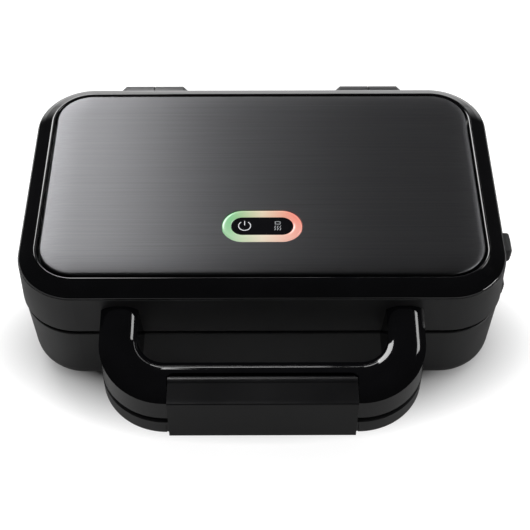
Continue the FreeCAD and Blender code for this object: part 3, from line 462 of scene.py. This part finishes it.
def nonstick_coat(name, base):
    """Cast aluminium with a sprayed non-stick coat: a dark skin with pale flecks and slight orange peel."""
    material, tree, shader = start_material(name, IOR=1.4)
    # Only the noise's peaks are pale, so the flecks are sparse
    mottle(tree, shader, size_mm=0.9, detail=0.0, base=base, shades=(0.9, 3.4), spread=(0.724, 0.756))
    mottle(tree, shader, size_mm=1.6, detail=2.0, roughness=(0.3, 0.44), strength=0.25, depth_mm=0.05)
    return material


def bare_metal(name, base, roughness, size_mm=1.2):
    """Plated or pressed metal: a bright skin with fine drawn marks."""
    material, tree, shader = start_material(name, Metallic=1.0)
    mottle(
        tree, shader, size_mm, detail=4.0,
        base=base, shades=(0.85, 1.1), roughness=roughness, strength=0.1,
    )
    return material


def plain_mould(name, base, roughness):
    """Moulded or pressed part without polish: an even dull skin with slight mottling."""
    material, tree, shader = start_material(name, IOR=1.5)
    mottle(tree, shader, size_mm=12.0, detail=2.0, base=base, shades=(0.85, 1.12))
    mottle(tree, shader, size_mm=1.0, detail=4.0, roughness=roughness, strength=0.2, depth_mm=0.03)
    return material


def lit_polycarbonate(name, colours):
    """Milky polycarbonate lit from below: green at one end, red at the other, paler towards the front."""
    material, tree, shader = start_material(name, IOR=1.58, Roughness=0.2)
    shader.inputs["Base Color"].default_value = linear_colour("#3a3934")
    place = add_node(tree, "ShaderNodeTexCoord")
    axes = add_node(tree, "ShaderNodeSeparateXYZ", {"Vector": place.outputs["Object"]})
    along = add_node(
        tree, "ShaderNodeMapRange",
        {"Value": axes.outputs["X"], "From Min": RING_LOW.x, "From Max": RING_HIGH.x},
    )
    ramp = add_node(tree, "ShaderNodeValToRGB", {"Fac": along.outputs["Result"]})
    stops = ramp.color_ramp.elements
    stops[0].position, stops[0].color = 0.1, colours.green
    stops[1].position, stops[1].color = 0.9, colours.red
    stops.new(0.5).color = colours.cream
    front_share = 0.38
    paling = add_node(
        tree, "ShaderNodeMapRange",
        {
            "Value": axes.outputs["Y"], "From Min": RING_LOW.y, "From Max": RING_HIGH.y,
            "To Min": front_share, "To Max": 0.0,
        },
    )
    glow = add_node(
        tree, "ShaderNodeMix",
        {"Factor": paling.outputs["Result"], MIX_A: ramp.outputs["Color"], MIX_B: linear_colour("#f4f0e2")},
        data_type="RGBA",
    )
    tree.links.new(glow.outputs[MIX_RESULT], shader.inputs["Emission Color"])
    shader.inputs["Emission Strength"].default_value = 0.85
    return material


def printed_mark(name, hex_code):
    """Screen-printed ink, lit from behind: a flat pale film."""
    material, tree, shader = start_material(name, IOR=1.5, Roughness=0.5)
    base = linear_colour(hex_code)
    mottle(tree, shader, size_mm=0.4, detail=2.0, base=base, shades=(0.9, 1.05))
    shader.inputs["Emission Color"].default_value = base
    shader.inputs["Emission Strength"].default_value = 0.35
    return material


class FinishSolids(bpy.types.Operator):
    """Give every solid a finish of its own material"""

    bl_idname = "sandwich_maker.finish_solids"
    bl_label = "Finish the solids"

    def execute(self, context):
        colours = context.scene.finish_colours
        finishes = {
            "satin_plastic": satin_abs("satin ABS", colours.satin),
            "gloss_plastic": gloss_abs("polished ABS", colours.gloss),
            "clip_plastic": satin_abs("clip ABS", colours.clip, roughness=(0.3, 0.36), ior=1.4),
            "black_steel": brushed_black_steel("brushed black steel", colours.steel),
            "light_ring": lit_polycarbonate("lit polycarbonate", colours),
            "dark_window": gloss_abs("black window polycarbonate", linear_colour("#08080a")),
            "nonstick_aluminium": nonstick_coat("non-stick coated aluminium", colours.coating),
            "aluminised_sheet": bare_metal(
                "aluminised sheet", linear_colour("#b9babd"), roughness=(0.22, 0.38), size_mm=2.5
            ),
            "element_sheath": bare_metal("oxidised heater sheath", linear_colour("#6d675f"), (0.4, 0.6)),
            "ceramic": plain_mould("glazed ceramic", linear_colour("#e6e0d2"), (0.2, 0.35)),
            "bright_steel": bare_metal("zinc-plated steel", linear_colour("#b4b4b6"), (0.24, 0.36)),
            "foot_rubber": plain_mould("moulded rubber", linear_colour("#1b1b1b"), (0.65, 0.8)),
            "terminal_plastic": plain_mould("white polyamide", linear_colour("#dddcd6"), (0.35, 0.5)),
            "board_laminate": plain_mould("circuit board laminate", linear_colour("#1f5a34"), (0.35, 0.5)),
            "green_led": plain_mould("green lens", linear_colour("#5fd07a"), (0.1, 0.16)),
            "red_led": plain_mould("red lens", linear_colour("#e0523c"), (0.1, 0.16)),
        }
        slots = {part["node"]: part["material_slot"] for part in frame["record"]["subparts"]}
        for name, node in frame["nodes"].items():
            node.material_slots[0].material = finishes[slots[name]]
        return {"FINISHED"}


# Pieces


class SteelPanel(bpy.types.Operator):
    """Model the crowned steel panel with its rolled edge and the light's opening"""

    bl_idname = "sandwich_maker.steel_panel"
    bl_label = "Steel panel"

    def execute(self, context):
        sizes = context.scene.panel_sizes
        fit = sizes.ring_fit
        roll_top = PANEL_HIGH.z - sizes.fall
        panel = start_block("steel_panel", PANEL_LOW, (*PANEL_HIGH.xy, roll_top - sizes.roll))
        round_corners(panel, sizes.corner, segments=24)
        edit(panel)
        pick_faces(panel, looks_up)
        roll_end = math.radians(80)
        fall_shares = (0.36, 0.27, 0.18, 0.11, 0.06, 0.02)
        step_inwards(arc_steps(sizes.roll, 0.0, roll_end, 5))
        step_inwards([(sizes.pillow / len(fall_shares), sizes.fall * share) for share in fall_shares])
        done()
        opening = stadium_block(
            "ring_opening", (RING_LOW.x - fit, RING_LOW.y - fit, PANEL_LOW.z - OVERRUN),
            (RING_HIGH.x + fit, RING_HIGH.y + fit, RING_HIGH.z + OVERRUN),
        )
        cut(panel, opening)
        smooth(panel, 40.0)
        finish_piece(panel, "lid", "black_steel", "brushed black steel", "lid_panel")
        return {"FINISHED"}


def stadium_block(name, low, high):
    """Start a piece as a bar with round ends between two corners: a cylinder whose halves are moved apart."""
    low, high = Vector(low), Vector(high)
    middle, size = (low + high) / 2, high - low
    radius = size.y / 2
    run = size.x / 2 - radius
    sides = 72
    tube = bpy.ops.mesh.primitive_cylinder_add
    half_side = (0, 0, math.pi / sides)
    piece = start_piece(
        name, tube, vertices=sides, radius=radius, depth=size.z, location=middle, rotation=half_side
    )
    for side in (-1, 1):
        edit(piece, "VERT")
        pick_corners(piece, lambda place: (place.x - middle.x) * side > 0)
        bpy.ops.transform.translate(value=(side * run, 0, 0))
        done()
    return piece


class PolishedRim(bpy.types.Operator):
    """Model the polished rim that slopes up to the panel, and the deck under the panel"""

    bl_idname = "sandwich_maker.polished_rim"
    bl_label = "Polished rim"

    def execute(self, context):
        sizes = context.scene.rim_sizes
        profile = rounded_line([
            (0.0, 0.0, 0.0),
            (0.0, sizes.edge_height, sizes.outer_round),
            (sizes.shoulder, sizes.shoulder_height, sizes.shoulder_round),
            (sizes.width, sizes.height, sizes.inner_round),
            (sizes.width + DRAFT, PANEL_LOW.z - RIM_FOOT, 0.0),
        ])
        edge_top = RIM_FOOT + profile[1].y
        rim = start_block("polished_rim", (*RIM_LOW.xy, RIM_FOOT), (*RIM_HIGH.xy, edge_top))
        round_corners(rim, sizes.corner, segments=32)
        edit(rim)
        pick_faces(rim, looks_up)
        step_inwards([far - near for near, far in zip(profile[1:], profile[2:])])
        done()
        smooth(rim, 40.0)
        even_out(rim)
        finish_piece(rim, "lid", "gloss_plastic", "polished ABS", "lid_bezel")
        return {"FINISHED"}


def rounded_line(corners):
    """Points along a line of (across, up, radius) corners, each rounded in short steps."""
    longest_step, fewest_steps = math.radians(9), 3
    points = []
    for place, (across, up, radius) in enumerate(corners):
        corner = Vector((across, up))
        if not radius:
            points.append(corner)
            continue
        before = (Vector(corners[place - 1][:2]) - corner).normalized()
        after = (Vector(corners[place + 1][:2]) - corner).normalized()
        half = before.angle(after) / 2
        middle = corner + (before + after).normalized() * radius / math.sin(half)
        start, end = [corner + side * radius / math.tan(half) - middle for side in (before, after)]
        steps = max(fewest_steps, round((math.pi - 2 * half) / longest_step))
        points += [middle + start.slerp(end, step / steps).normalized() * radius for step in range(steps + 1)]
    return points


class ArchedHandle(bpy.types.Operator):
    """Model the gloss upper handle with its arched top and the clip's seat"""

    bl_idname = "sandwich_maker.arched_handle"
    bl_label = "Arched handle"

    def execute(self, context):
        sizes = context.scene.handle_sizes
        handle = gapped_block(sizes)
        slope_top(handle, sizes.front_drop, GRIP_HIGH.y)
        arch_top(handle, sizes)
        cut_clip_seat(handle, context.scene.clip_sizes)
        soften(handle, sizes.edge, 28.0)
        finish_piece(handle, "lid", "gloss_plastic", "polished ABS", "upper_handle")
        return {"FINISHED"}


def gapped_block(sizes):
    """Start the handle as a block with a gap for the fingers, which runs on past the handle's root."""
    root = GRIP_HIGH.y
    front_top = GRIP_HIGH.z - sizes.front_drop - sizes.crown
    handle = start_block("arched_handle", GRIP_LOW, (GRIP_HIGH.x, root + OVERRUN, front_top))
    round_corners(handle, sizes.outer_corner, lambda place: place.y < root - OVERRUN, 24)
    gap = start_block(
        "finger_gap", (GRIP_LOW.x + sizes.arm, GRIP_LOW.y + sizes.bar, GRIP_LOW.z - OVERRUN),
        (GRIP_HIGH.x - sizes.arm, root + 2 * OVERRUN, front_top + OVERRUN),
    )
    round_corners(gap, sizes.inner_corner, lambda place: place.y < root - OVERRUN, 20)
    height = front_top - GRIP_LOW.z
    lean_inwards(gap, sizes.lean * (height + 2 * OVERRUN) / height)
    cut(handle, gap)
    return handle


def lean_inwards(piece, lean):
    """Narrow the foot of a block on both sides."""
    low, high = piece.bound_box[0], piece.bound_box[6]
    edit(piece, "VERT")
    pick_corners(piece, lambda place: place.z < (low[2] + high[2]) / 2)
    share = 1 - 2 * lean / (high[0] - low[0])
    bpy.ops.transform.resize(value=(share, 1, 1), center_override=((low[0] + high[0]) / 2, 0, 0))
    done()


def slope_top(piece, rise, root):
    """Raise the top of a handle towards its root with a cage of eight points."""
    corners = [Vector(corner) for corner in piece.bound_box]
    low = Vector([min(c[axis] for c in corners) for axis in range(3)])
    high = Vector([max(c[axis] for c in corners) for axis in range(3)])
    bpy.ops.object.select_all(action="DESELECT")
    bpy.ops.object.add(type="LATTICE", location=(low + high) / 2)
    cage = bpy.context.object
    cage.scale = high - low
    for axis in "uvw":
        setattr(cage.data, f"points_{axis}", 2)
        setattr(cage.data, f"interpolation_type_{axis}", "KEY_LINEAR")
    share = rise * (high.y - low.y) / (root - low.y) / (high.z - low.z)
    for point in cage.data.points:
        if point.co.y > 0 and point.co.z > 0:
            point.co_deform.z += share
    bpy.context.view_layer.update()
    apply_modifier(piece, "LATTICE", object=cage)
    data = cage.data
    bpy.data.objects.remove(cage)
    bpy.data.lattices.remove(data)


def arch_top(handle, sizes):
    """Arch the top of the handle in steps and cut the handle off at its root."""
    arch_share = 0.96
    half = sizes.arm / 2 * arch_share
    bow = (half * half + sizes.crown * sizes.crown) / (2 * sizes.crown)
    tilt = math.asin(half / bow)
    edit(handle)
    pick_faces(handle, looks_up)
    step_inwards(arc_steps(bow, math.pi / 2 - tilt, math.pi / 2, 9))
    bpy.ops.mesh.select_all(action="SELECT")
    bpy.ops.mesh.bisect(plane_co=(0, GRIP_HIGH.y, 0), plane_no=(0, 1, 0), use_fill=True, clear_outer=True)
    done()


def cut_clip_seat(handle, clip):
    """Cut the seat for the clip's plate and the trough for its barrel."""
    half_width = clip_half_width(clip) + clip.seat_gap
    rear = CLIP_PIVOT.y + clip.barrel + clip.seat_gap
    seat = start_block(
        "clip_seat", (MIDDLE.x - half_width, GRIP_LOW.y - OVERRUN, CLIP_PIVOT.z),
        (MIDDLE.x + half_width, rear, CLIP_PIVOT.z + 2 * OVERRUN),
    )
    round_corners(seat, clip.corner, lambda place: place.y > rear - OVERRUN, 6)
    cut(handle, seat)
    cut(handle, pivot_tube("clip_trough", clip.barrel + clip.seat_gap, half_width))


def clip_half_width(clip):
    """Half the width of the clip between the ends of its axle."""
    return (CLIP_HIGH.x - CLIP_LOW.x) / 2 - clip.axle


def pivot_tube(name, radius, half_width):
    """Start a round bar along the clip's pivot."""
    tube = bpy.ops.mesh.primitive_cylinder_add
    middle = (MIDDLE.x, CLIP_PIVOT.y, CLIP_PIVOT.z)
    across = (0, math.pi / 2, 0)
    return start_piece(
        name, tube, vertices=48, radius=radius, depth=2 * half_width, location=middle, rotation=across
    )


class SwingClip(bpy.types.Operator):
    """Model the clip that swings over the front of the handle"""

    bl_idname = "sandwich_maker.swing_clip"
    bl_label = "Swinging clip"

    def execute(self, context):
        sizes = context.scene.clip_sizes
        half_width = clip_half_width(sizes)
        slope = context.scene.handle_sizes.front_drop / (GRIP_HIGH.y - GRIP_LOW.y)
        clip = folded_plate(sizes, half_width, slope)
        cut(clip, pivot_tube("clip_barrel", sizes.barrel, half_width), "UNION")
        outline = start_block(
            "clip_outline", (MIDDLE.x - half_width, CLIP_LOW.y - OVERRUN, CLIP_LOW.z - OVERRUN),
            (MIDDLE.x + half_width, CLIP_PIVOT.y + sizes.barrel, CLIP_HIGH.z + OVERRUN),
        )
        round_corners(outline, sizes.corner, lambda place: place.y > CLIP_PIVOT.y, 8)
        cut(clip, outline, "INTERSECT")
        soften(clip, sizes.edge, 35.0)
        finish_piece(clip, "clip", "clip_plastic", "clip ABS", "handle_clip")
        return {"FINISHED"}


def folded_plate(sizes, half_width, slope):
    """Start the clip as an upright plate with a top that slopes up to the pivot and a lip at the foot."""
    front, thickness = CLIP_LOW.y, sizes.thickness
    top = CLIP_PIVOT.z + sizes.barrel - slope * (CLIP_PIVOT.y - front)
    lip_top = CLIP_LOW.z + sizes.lip_height
    low = (MIDDLE.x - half_width, front, CLIP_LOW.z)
    clip = start_block("swing_clip", low, (MIDDLE.x + half_width, front + thickness, top))
    edit(clip)
    for height in (top - thickness, lip_top):
        bpy.ops.mesh.select_all(action="SELECT")
        bpy.ops.mesh.bisect(plane_co=(0, 0, height), plane_no=(0, 0, 1))
    pick_faces(clip, lambda middle, normal: normal.y > FACING and middle.z > top - thickness)
    reach = CLIP_PIVOT.y - front - thickness
    bpy.ops.mesh.extrude_region_move(TRANSFORM_OT_translate={"value": (0, reach, slope * reach)})
    pick_faces(clip, lambda middle, normal: normal.y > FACING and middle.z < lip_top)
    bpy.ops.mesh.extrude_region_move(TRANSFORM_OT_translate={"value": (0, sizes.lip, 0)})
    bpy.ops.mesh.select_mode(type="EDGE")
    pick_edges(clip, lambda a, b: max(a.y, b.y) < front + TOUCH and min(a.z, b.z) > top - TOUCH)
    bpy.ops.mesh.bevel(offset=sizes.bend, segments=5, affect="EDGES")
    done()
    return clip


class LightRing(bpy.types.Operator):
    """Model the domed light ring round its window"""

    bl_idname = "sandwich_maker.light_ring"
    bl_label = "Light ring"

    def execute(self, context):
        sizes = context.scene.indicator_sizes
        ring = stadium_block("light_ring", RING_LOW, (*RING_HIGH.xy, RING_HIGH.z - sizes.dome))
        # Each edge of the band curves in three steps, as shares of the band's width and of the dome
        edge_shares = ((0.075, 0.6), (0.125, 0.3), (0.125, 0.1))
        climb = [(sizes.band * across, sizes.dome * up) for across, up in edge_shares]
        descent = [(across, -up) for across, up in reversed(climb)]
        flat = sizes.band - 2 * sum(across for across, up in climb)
        edit(ring)
        pick_faces(ring, looks_up)
        step_inwards([*climb, (flat, 0.0), *descent, (DRAFT, -sizes.well)])
        done()
        smooth(ring, 50.0)
        finish_piece(ring, "lid", "light_ring", "lit polycarbonate", "indicator_ring")
        return {"FINISHED"}


class WindowMarks(bpy.types.Operator):
    """Model the dark window and the two marks printed on it"""

    bl_idname = "sandwich_maker.window_marks"
    bl_label = "Window and marks"

    def execute(self, context):
        sizes = context.scene.indicator_sizes
        window = stadium_block("dark_window", (*WINDOW_LOW.xy, RING_HIGH.z - sizes.window_foot), WINDOW_HIGH)
        soften(window, sizes.window_edge)
        finish_piece(window, "lid", "dark_window", "black window polycarbonate", "indicator_window")
        printed_mark("bright print", "#a9a9ac")
        printed_mark("dim print", "#77797b")
        middle = (WINDOW_LOW + WINDOW_HIGH) / 2
        middle.z = WINDOW_HIGH.z + sizes.print_height / 2
        half_window = Vector(((WINDOW_HIGH.x - WINDOW_LOW.x) / 2, 0, 0))
        power_share, heat_share = -0.56, 0.5
        power_mark(sizes, middle + half_window * power_share, "bright print")
        heat_mark(sizes, middle + half_window * heat_share, "dim print")
        return {"FINISHED"}


def thin_bar(name, width, depth, height, place, turn=0.0):
    """Start a short printed line, rounded at its corners."""
    cube = bpy.ops.mesh.primitive_cube_add
    bar = start_piece(name, cube, size=1, scale=(width, depth, height), location=place, rotation=(0, 0, turn))
    round_share = 0.45
    round_corners(bar, min(width, depth) * round_share, segments=3)
    return bar


def join_pieces(name, pieces):
    """Join pieces into one with a name."""
    bpy.ops.object.select_all(action="DESELECT")
    for piece in pieces:
        piece.select_set(True)
    bpy.context.view_layer.objects.active = pieces[0]
    bpy.ops.object.join()
    pieces[0].name = name
    pieces[0].data.name = name
    return pieces[0]


def power_mark(sizes, place, material):
    """A broken ring with a bar in its gap."""
    sweep, turn = math.radians(290), math.radians(-55)
    bar_share = 0.62
    thick = sizes.print_height
    start = place + Vector((sizes.power_radius, 0, 0))
    half = Vector((sizes.stroke, thick, thick)) / 2
    mark = start_block("power_arc", start - half, start + half)
    edit(mark)
    pick_faces(mark, lambda middle, normal: normal.y > FACING)
    bpy.ops.mesh.spin(steps=36, angle=sweep, center=place, axis=(0, 0, 1))
    bpy.ops.mesh.select_all(action="SELECT")
    bpy.ops.mesh.remove_doubles(threshold=TOUCH)
    bpy.ops.mesh.normals_make_consistent(inside=False)
    bpy.ops.transform.rotate(value=turn, orient_axis="Z", orient_type="GLOBAL", center_override=place)
    done()
    bar_middle = place + Vector((0, sizes.power_radius * bar_share, 0))
    bar = thin_bar("power_bar", sizes.stroke, sizes.power_radius, thick, bar_middle)
    mark = join_pieces("power_mark", [mark, bar])
    finish_piece(mark, "lid", "dark_window", material)


def heat_mark(sizes, place, material):
    """A plate outline over three rising waves, drawn in shares of the mark's width."""
    stroke_share = 0.8
    plate_share, plate_rise_share = 0.64, 0.5
    side_share, end_offset_share = 0.5, 0.22
    wave_pitch_share, wave_start_share = 0.34, 0.12
    link_pitch_share, link_share = 0.26, 0.32
    link_turn = math.radians(28)
    stroke, thick, width = sizes.stroke * stroke_share, sizes.print_height, sizes.heat_width
    pieces = []
    for side in (-1, 1):
        offset = Vector((side * plate_share / 2, plate_rise_share, 0)) * width
        pieces.append(thin_bar("heat_side", stroke, width * side_share, thick, place + offset))
        offset = Vector((0, plate_rise_share + side * end_offset_share, 0)) * width
        pieces.append(thin_bar("heat_end", width * plate_share, stroke, thick, place + offset))
    for column in (-1, 0, 1):
        for link in range(3):
            turn = link_turn if link % 2 else -link_turn
            drop = wave_start_share + link_pitch_share * link
            offset = Vector((column * wave_pitch_share, -drop, 0)) * width
            pieces.append(thin_bar("heat_wave", stroke, width * link_share, thick, place + offset, turn))
    mark = join_pieces("heat_mark", pieces)
    finish_piece(mark, "lid", "dark_window", material)


class ButtonGrips(bpy.types.Operator):
    """Model the raised ribs on the two release buttons"""

    bl_idname = "sandwich_maker.button_grips"
    bl_label = "Button grips"

    def execute(self, context):
        for body in ("lower_release", "upper_release"):
            ribs = button_ribs(f"{body}_button", context.scene.grip_sizes)
            grip = join_pieces(f"{body}_grip", ribs)
            finish_piece(grip, body, "satin_plastic", "satin ABS")
        return {"FINISHED"}


def button_ribs(button, sizes):
    """Three rounded ribs across a button's outer face."""
    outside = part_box(button)[1].x
    face_depth = 0.05 * MM
    face = [v.co for v in frame["nodes"][button].data.vertices if v.co.x > outside - face_depth]
    y_middle, z_middle = [(min(p[axis] for p in face) + max(p[axis] for p in face)) / 2 for axis in (1, 2)]
    half = Vector((sizes.rib_stand, sizes.rib_length / 2, sizes.rib_height / 2))
    ribs = []
    for step in (-1, 0, 1):
        middle = Vector((outside, y_middle, z_middle + step * sizes.rib_pitch))
        rib = start_block("rib", middle - half, middle + half)
        soften(rib, sizes.rib_edge)
        ribs.append(rib)
    return ribs


# Studio


class Studio(bpy.types.Operator):
    """Set the floor, the lamps, the surroundings and the camera"""

    bl_idname = "sandwich_maker.studio"
    bl_label = "Studio"

    def execute(self, context):
        levels = context.scene.studio_levels
        white_floor()
        soft_lamp("left softbox", levels.left_box, place=(-0.62, 1.17, 0.95), size=(0.85, 0.75))
        soft_lamp("right softbox", levels.right_box, place=(0.97, 0.45, 1.12), size=(0.5, 0.26))
        soft_lamp("back strip", levels.back_strip, place=(-0.08, 1.34, 0.96), size=(0.42, 0.12))
        soft_lamp("right strip", levels.right_strip, place=(0.55, 1.0, 0.88), size=(0.9, 0.03))
        soft_lamp("right low", levels.right_low, place=(0.93, -0.26, 0.25), size=(0.46, 0.12), diffuse=False)
        soft_lamp("overhead", levels.overhead, place=(-0.1, -0.05, 1.8), size=(2.2, 2.2), glossy=False)
        surroundings()
        photo_camera()
        return {"FINISHED"}


def soft_lamp(name, watts, place, size, glossy=True, diffuse=True):
    """A rectangular lamp that looks at the middle of the object. Place and size are in metres."""
    middle = Vector((0, 0, 60 * MM))
    bpy.ops.object.select_all(action="DESELECT")
    bpy.ops.object.light_add(type="AREA", location=place)
    lamp = bpy.context.object
    lamp.name = name
    aim = middle - Vector(place)
    lamp.rotation_euler = aim.to_track_quat("-Z", "Y").to_euler()
    lamp.data.shape = "RECTANGLE"
    lamp.data.size, lamp.data.size_y = size
    lamp.data.energy = watts
    lamp.visible_glossy = glossy
    lamp.visible_diffuse = diffuse


def white_floor():
    """A pale floor that keeps the object's shadow, with a painted shadow round it, and is white beyond, also in
    mirrors.
    """
    side, gap = 12.0, 0.2 * MM
    plane = bpy.ops.mesh.primitive_plane_add
    floor = start_piece("floor", plane, size=side, location=(0, 0, -gap))
    material = bpy.data.materials.new("white studio floor")
    material.use_nodes = True
    tree = material.node_tree
    tree.nodes.clear()
    path = add_node(tree, "ShaderNodeLightPath")
    paint = add_node(tree, "ShaderNodeBsdfDiffuse", {"Color": linear_colour("#969696")})
    # The glow that lifts the floor to white sets in only beyond an oval round the object, so the darker floor
    # inside the oval is a painted shadow on top of the lamps' real shadow
    place = add_node(tree, "ShaderNodeTexCoord")
    painted_shadow_middle = Vector((-5.0, -33.0, 0.0)) * MM
    painted_shadow_radii = Vector((116.0, 47.0, 1000.0)) * MM
    shrunk = add_node(
        tree, "ShaderNodeMapping",
        {
            "Vector": place.outputs["Object"],
            "Location": [-middle / radius for middle, radius in zip(painted_shadow_middle, painted_shadow_radii)],
            "Scale": [1 / radius for radius in painted_shadow_radii],
        },
    )
    reach = add_node(tree, "ShaderNodeVectorMath", {0: shrunk.outputs["Vector"]}, operation="LENGTH")
    # Both ranges are counted in the oval's radii
    # For the camera, the painted shadow fades to white between one and 1.67 radii
    seen = add_node(
        tree, "ShaderNodeMapRange",
        {"Value": reach.outputs["Value"], "From Min": 1.0, "From Max": 1.67, "To Min": 0.0, "To Max": 0.9},
    )
    # Mirrors see the floor lifted only far out, so near the object it shows as painted shade in reflections
    far = add_node(
        tree, "ShaderNodeMapRange",
        {"Value": reach.outputs["Value"], "From Min": 5.5, "From Max": 8.5, "To Min": 0.0, "To Max": 0.65},
    )
    mirrored = add_node(
        tree, "ShaderNodeMath", {0: path.outputs["Is Glossy Ray"], 1: path.outputs["Is Transmission Ray"]},
        operation="MAXIMUM",
    )
    to_mirrors = add_node(
        tree, "ShaderNodeMath", {0: mirrored.outputs[0], 1: far.outputs["Result"]}, operation="MULTIPLY"
    )
    to_camera = add_node(
        tree, "ShaderNodeMath", {0: path.outputs["Is Camera Ray"], 1: seen.outputs["Result"]},
        operation="MULTIPLY",
    )
    level = add_node(
        tree, "ShaderNodeMath", {0: to_camera.outputs[0], 1: to_mirrors.outputs[0]}, operation="ADD"
    )
    glow = add_node(tree, "ShaderNodeEmission", {"Color": (1, 1, 1, 1), "Strength": level.outputs[0]})
    both = add_node(tree, "ShaderNodeAddShader", {0: paint.outputs[0], 1: glow.outputs[0]})
    add_node(tree, "ShaderNodeOutputMaterial", {"Surface": both.outputs[0]})
    floor.data.materials.append(material)


def surroundings():
    """A dim room, white to the camera, with a pale wall low at the back for what mirrors it."""
    room_level, wall_level = 0.04, 1.35
    world = bpy.data.worlds.new("studio surroundings")
    bpy.context.scene.world = world
    world.use_nodes = True
    tree = world.node_tree
    tree.nodes.clear()
    path = add_node(tree, "ShaderNodeLightPath")
    place = add_node(tree, "ShaderNodeTexCoord")
    axes = add_node(tree, "ShaderNodeSeparateXYZ", {"Vector": place.outputs["Generated"]})
    # The wall lies where the directions to the room are low and point to the back
    low = add_node(
        tree, "ShaderNodeMapRange",
        {"Value": axes.outputs["Z"], "From Min": 0.05, "From Max": 0.35, "To Min": 1.0, "To Max": 0.0},
    )
    behind = add_node(
        tree, "ShaderNodeMapRange",
        {"Value": axes.outputs["Y"], "From Min": 0.75, "From Max": 0.92, "To Min": 0.0, "To Max": wall_level},
    )
    wall = add_node(
        tree, "ShaderNodeMath", {0: low.outputs["Result"], 1: behind.outputs["Result"]}, operation="MULTIPLY"
    )
    level = add_node(tree, "ShaderNodeMath", {0: wall.outputs[0], 1: room_level}, operation="ADD")
    white = add_node(
        tree, "ShaderNodeMath", {0: path.outputs["Is Camera Ray"], 1: level.outputs[0]}, operation="MAXIMUM"
    )
    room = add_node(tree, "ShaderNodeBackground", {"Color": (1, 1, 1, 1), "Strength": white.outputs[0]})
    add_node(tree, "ShaderNodeOutputWorld", {"Surface": room.outputs[0]})


def photo_camera():
    """A long lens from the front and above, with lens and shift measured in pixels of the picture."""
    picture, focal = 530, 1250
    shift_across, shift_up = 0.5, -4.0
    pitch, turn, roll = math.radians(49.987), math.radians(-0.276), math.radians(0.07)
    distance = 730.283 * MM
    aim_offset = Vector((1.33, -66.27)) * MM
    aim_height = 95.0 * MM
    aim = Vector((*(MIDDLE.xy + aim_offset), aim_height))
    back = Vector((math.sin(turn) * math.cos(pitch), -math.cos(turn) * math.cos(pitch), math.sin(pitch)))
    bpy.ops.object.select_all(action="DESELECT")
    bpy.ops.object.camera_add(location=aim + back * distance)
    camera = bpy.context.object
    camera.name = "photo camera"
    facing = back.to_track_quat("Z", "Y").to_matrix() @ Euler((0, 0, roll)).to_matrix()
    camera.rotation_euler = facing.to_euler()
    camera.data.sensor_width = 36.0
    camera.data.lens = camera.data.sensor_width * focal / picture
    camera.data.shift_x = shift_across / picture
    camera.data.shift_y = shift_up / picture
    bpy.context.scene.camera = camera


# Add-on


class MakerPanel(bpy.types.Panel):
    """The steps of the sandwich maker and what a user may change"""

    bl_idname = "VIEW3D_PT_sandwich_maker"
    bl_label = "Sandwich maker"
    bl_space_type = "VIEW_3D"
    bl_region_type = "UI"
    bl_category = "Sandwich maker"

    def draw(self, context):
        for step in STEPS:
            self.layout.operator(step.bl_idname)
        for name, group in GROUPS.items():
            box = self.layout.box()
            box.label(text=name.replace("_", " ").capitalize())
            for key in group.__annotations__:
                box.prop(getattr(context.scene, name), key)


GROUPS = {
    "panel_sizes": PanelSizes,
    "rim_sizes": RimSizes,
    "handle_sizes": HandleSizes,
    "clip_sizes": ClipSizes,
    "indicator_sizes": IndicatorSizes,
    "grip_sizes": GripSizes,
    "finish_colours": FinishColours,
    "studio_levels": StudioLevels,
}
STEPS = (
    FinishSolids, SteelPanel, PolishedRim, ArchedHandle, SwingClip, LightRing, WindowMarks, ButtonGrips,
    Studio,
)


def register():
    """Make the sizes, steps and panel known to Blender."""
    for group in GROUPS.values():
        bpy.utils.register_class(group)
    for name, group in GROUPS.items():
        setattr(bpy.types.Scene, name, bpy.props.PointerProperty(type=group))
    for step in (*STEPS, MakerPanel):
        bpy.utils.register_class(step)


def unregister():
    """Take the panel, steps and sizes away again."""
    for step in reversed((*STEPS, MakerPanel)):
        bpy.utils.unregister_class(step)
    for name in GROUPS:
        delattr(bpy.types.Scene, name)
    for group in reversed(GROUPS.values()):
        bpy.utils.unregister_class(group)


def main():
    """Register the steps, set the plain view and run every step in order."""
    register()
    bpy.context.scene.view_settings.view_transform = "Standard"
    for step in STEPS:
        group, name = step.bl_idname.split(".")
        getattr(getattr(bpy.ops, group), name)()


if __name__ == "__main__":
    main()
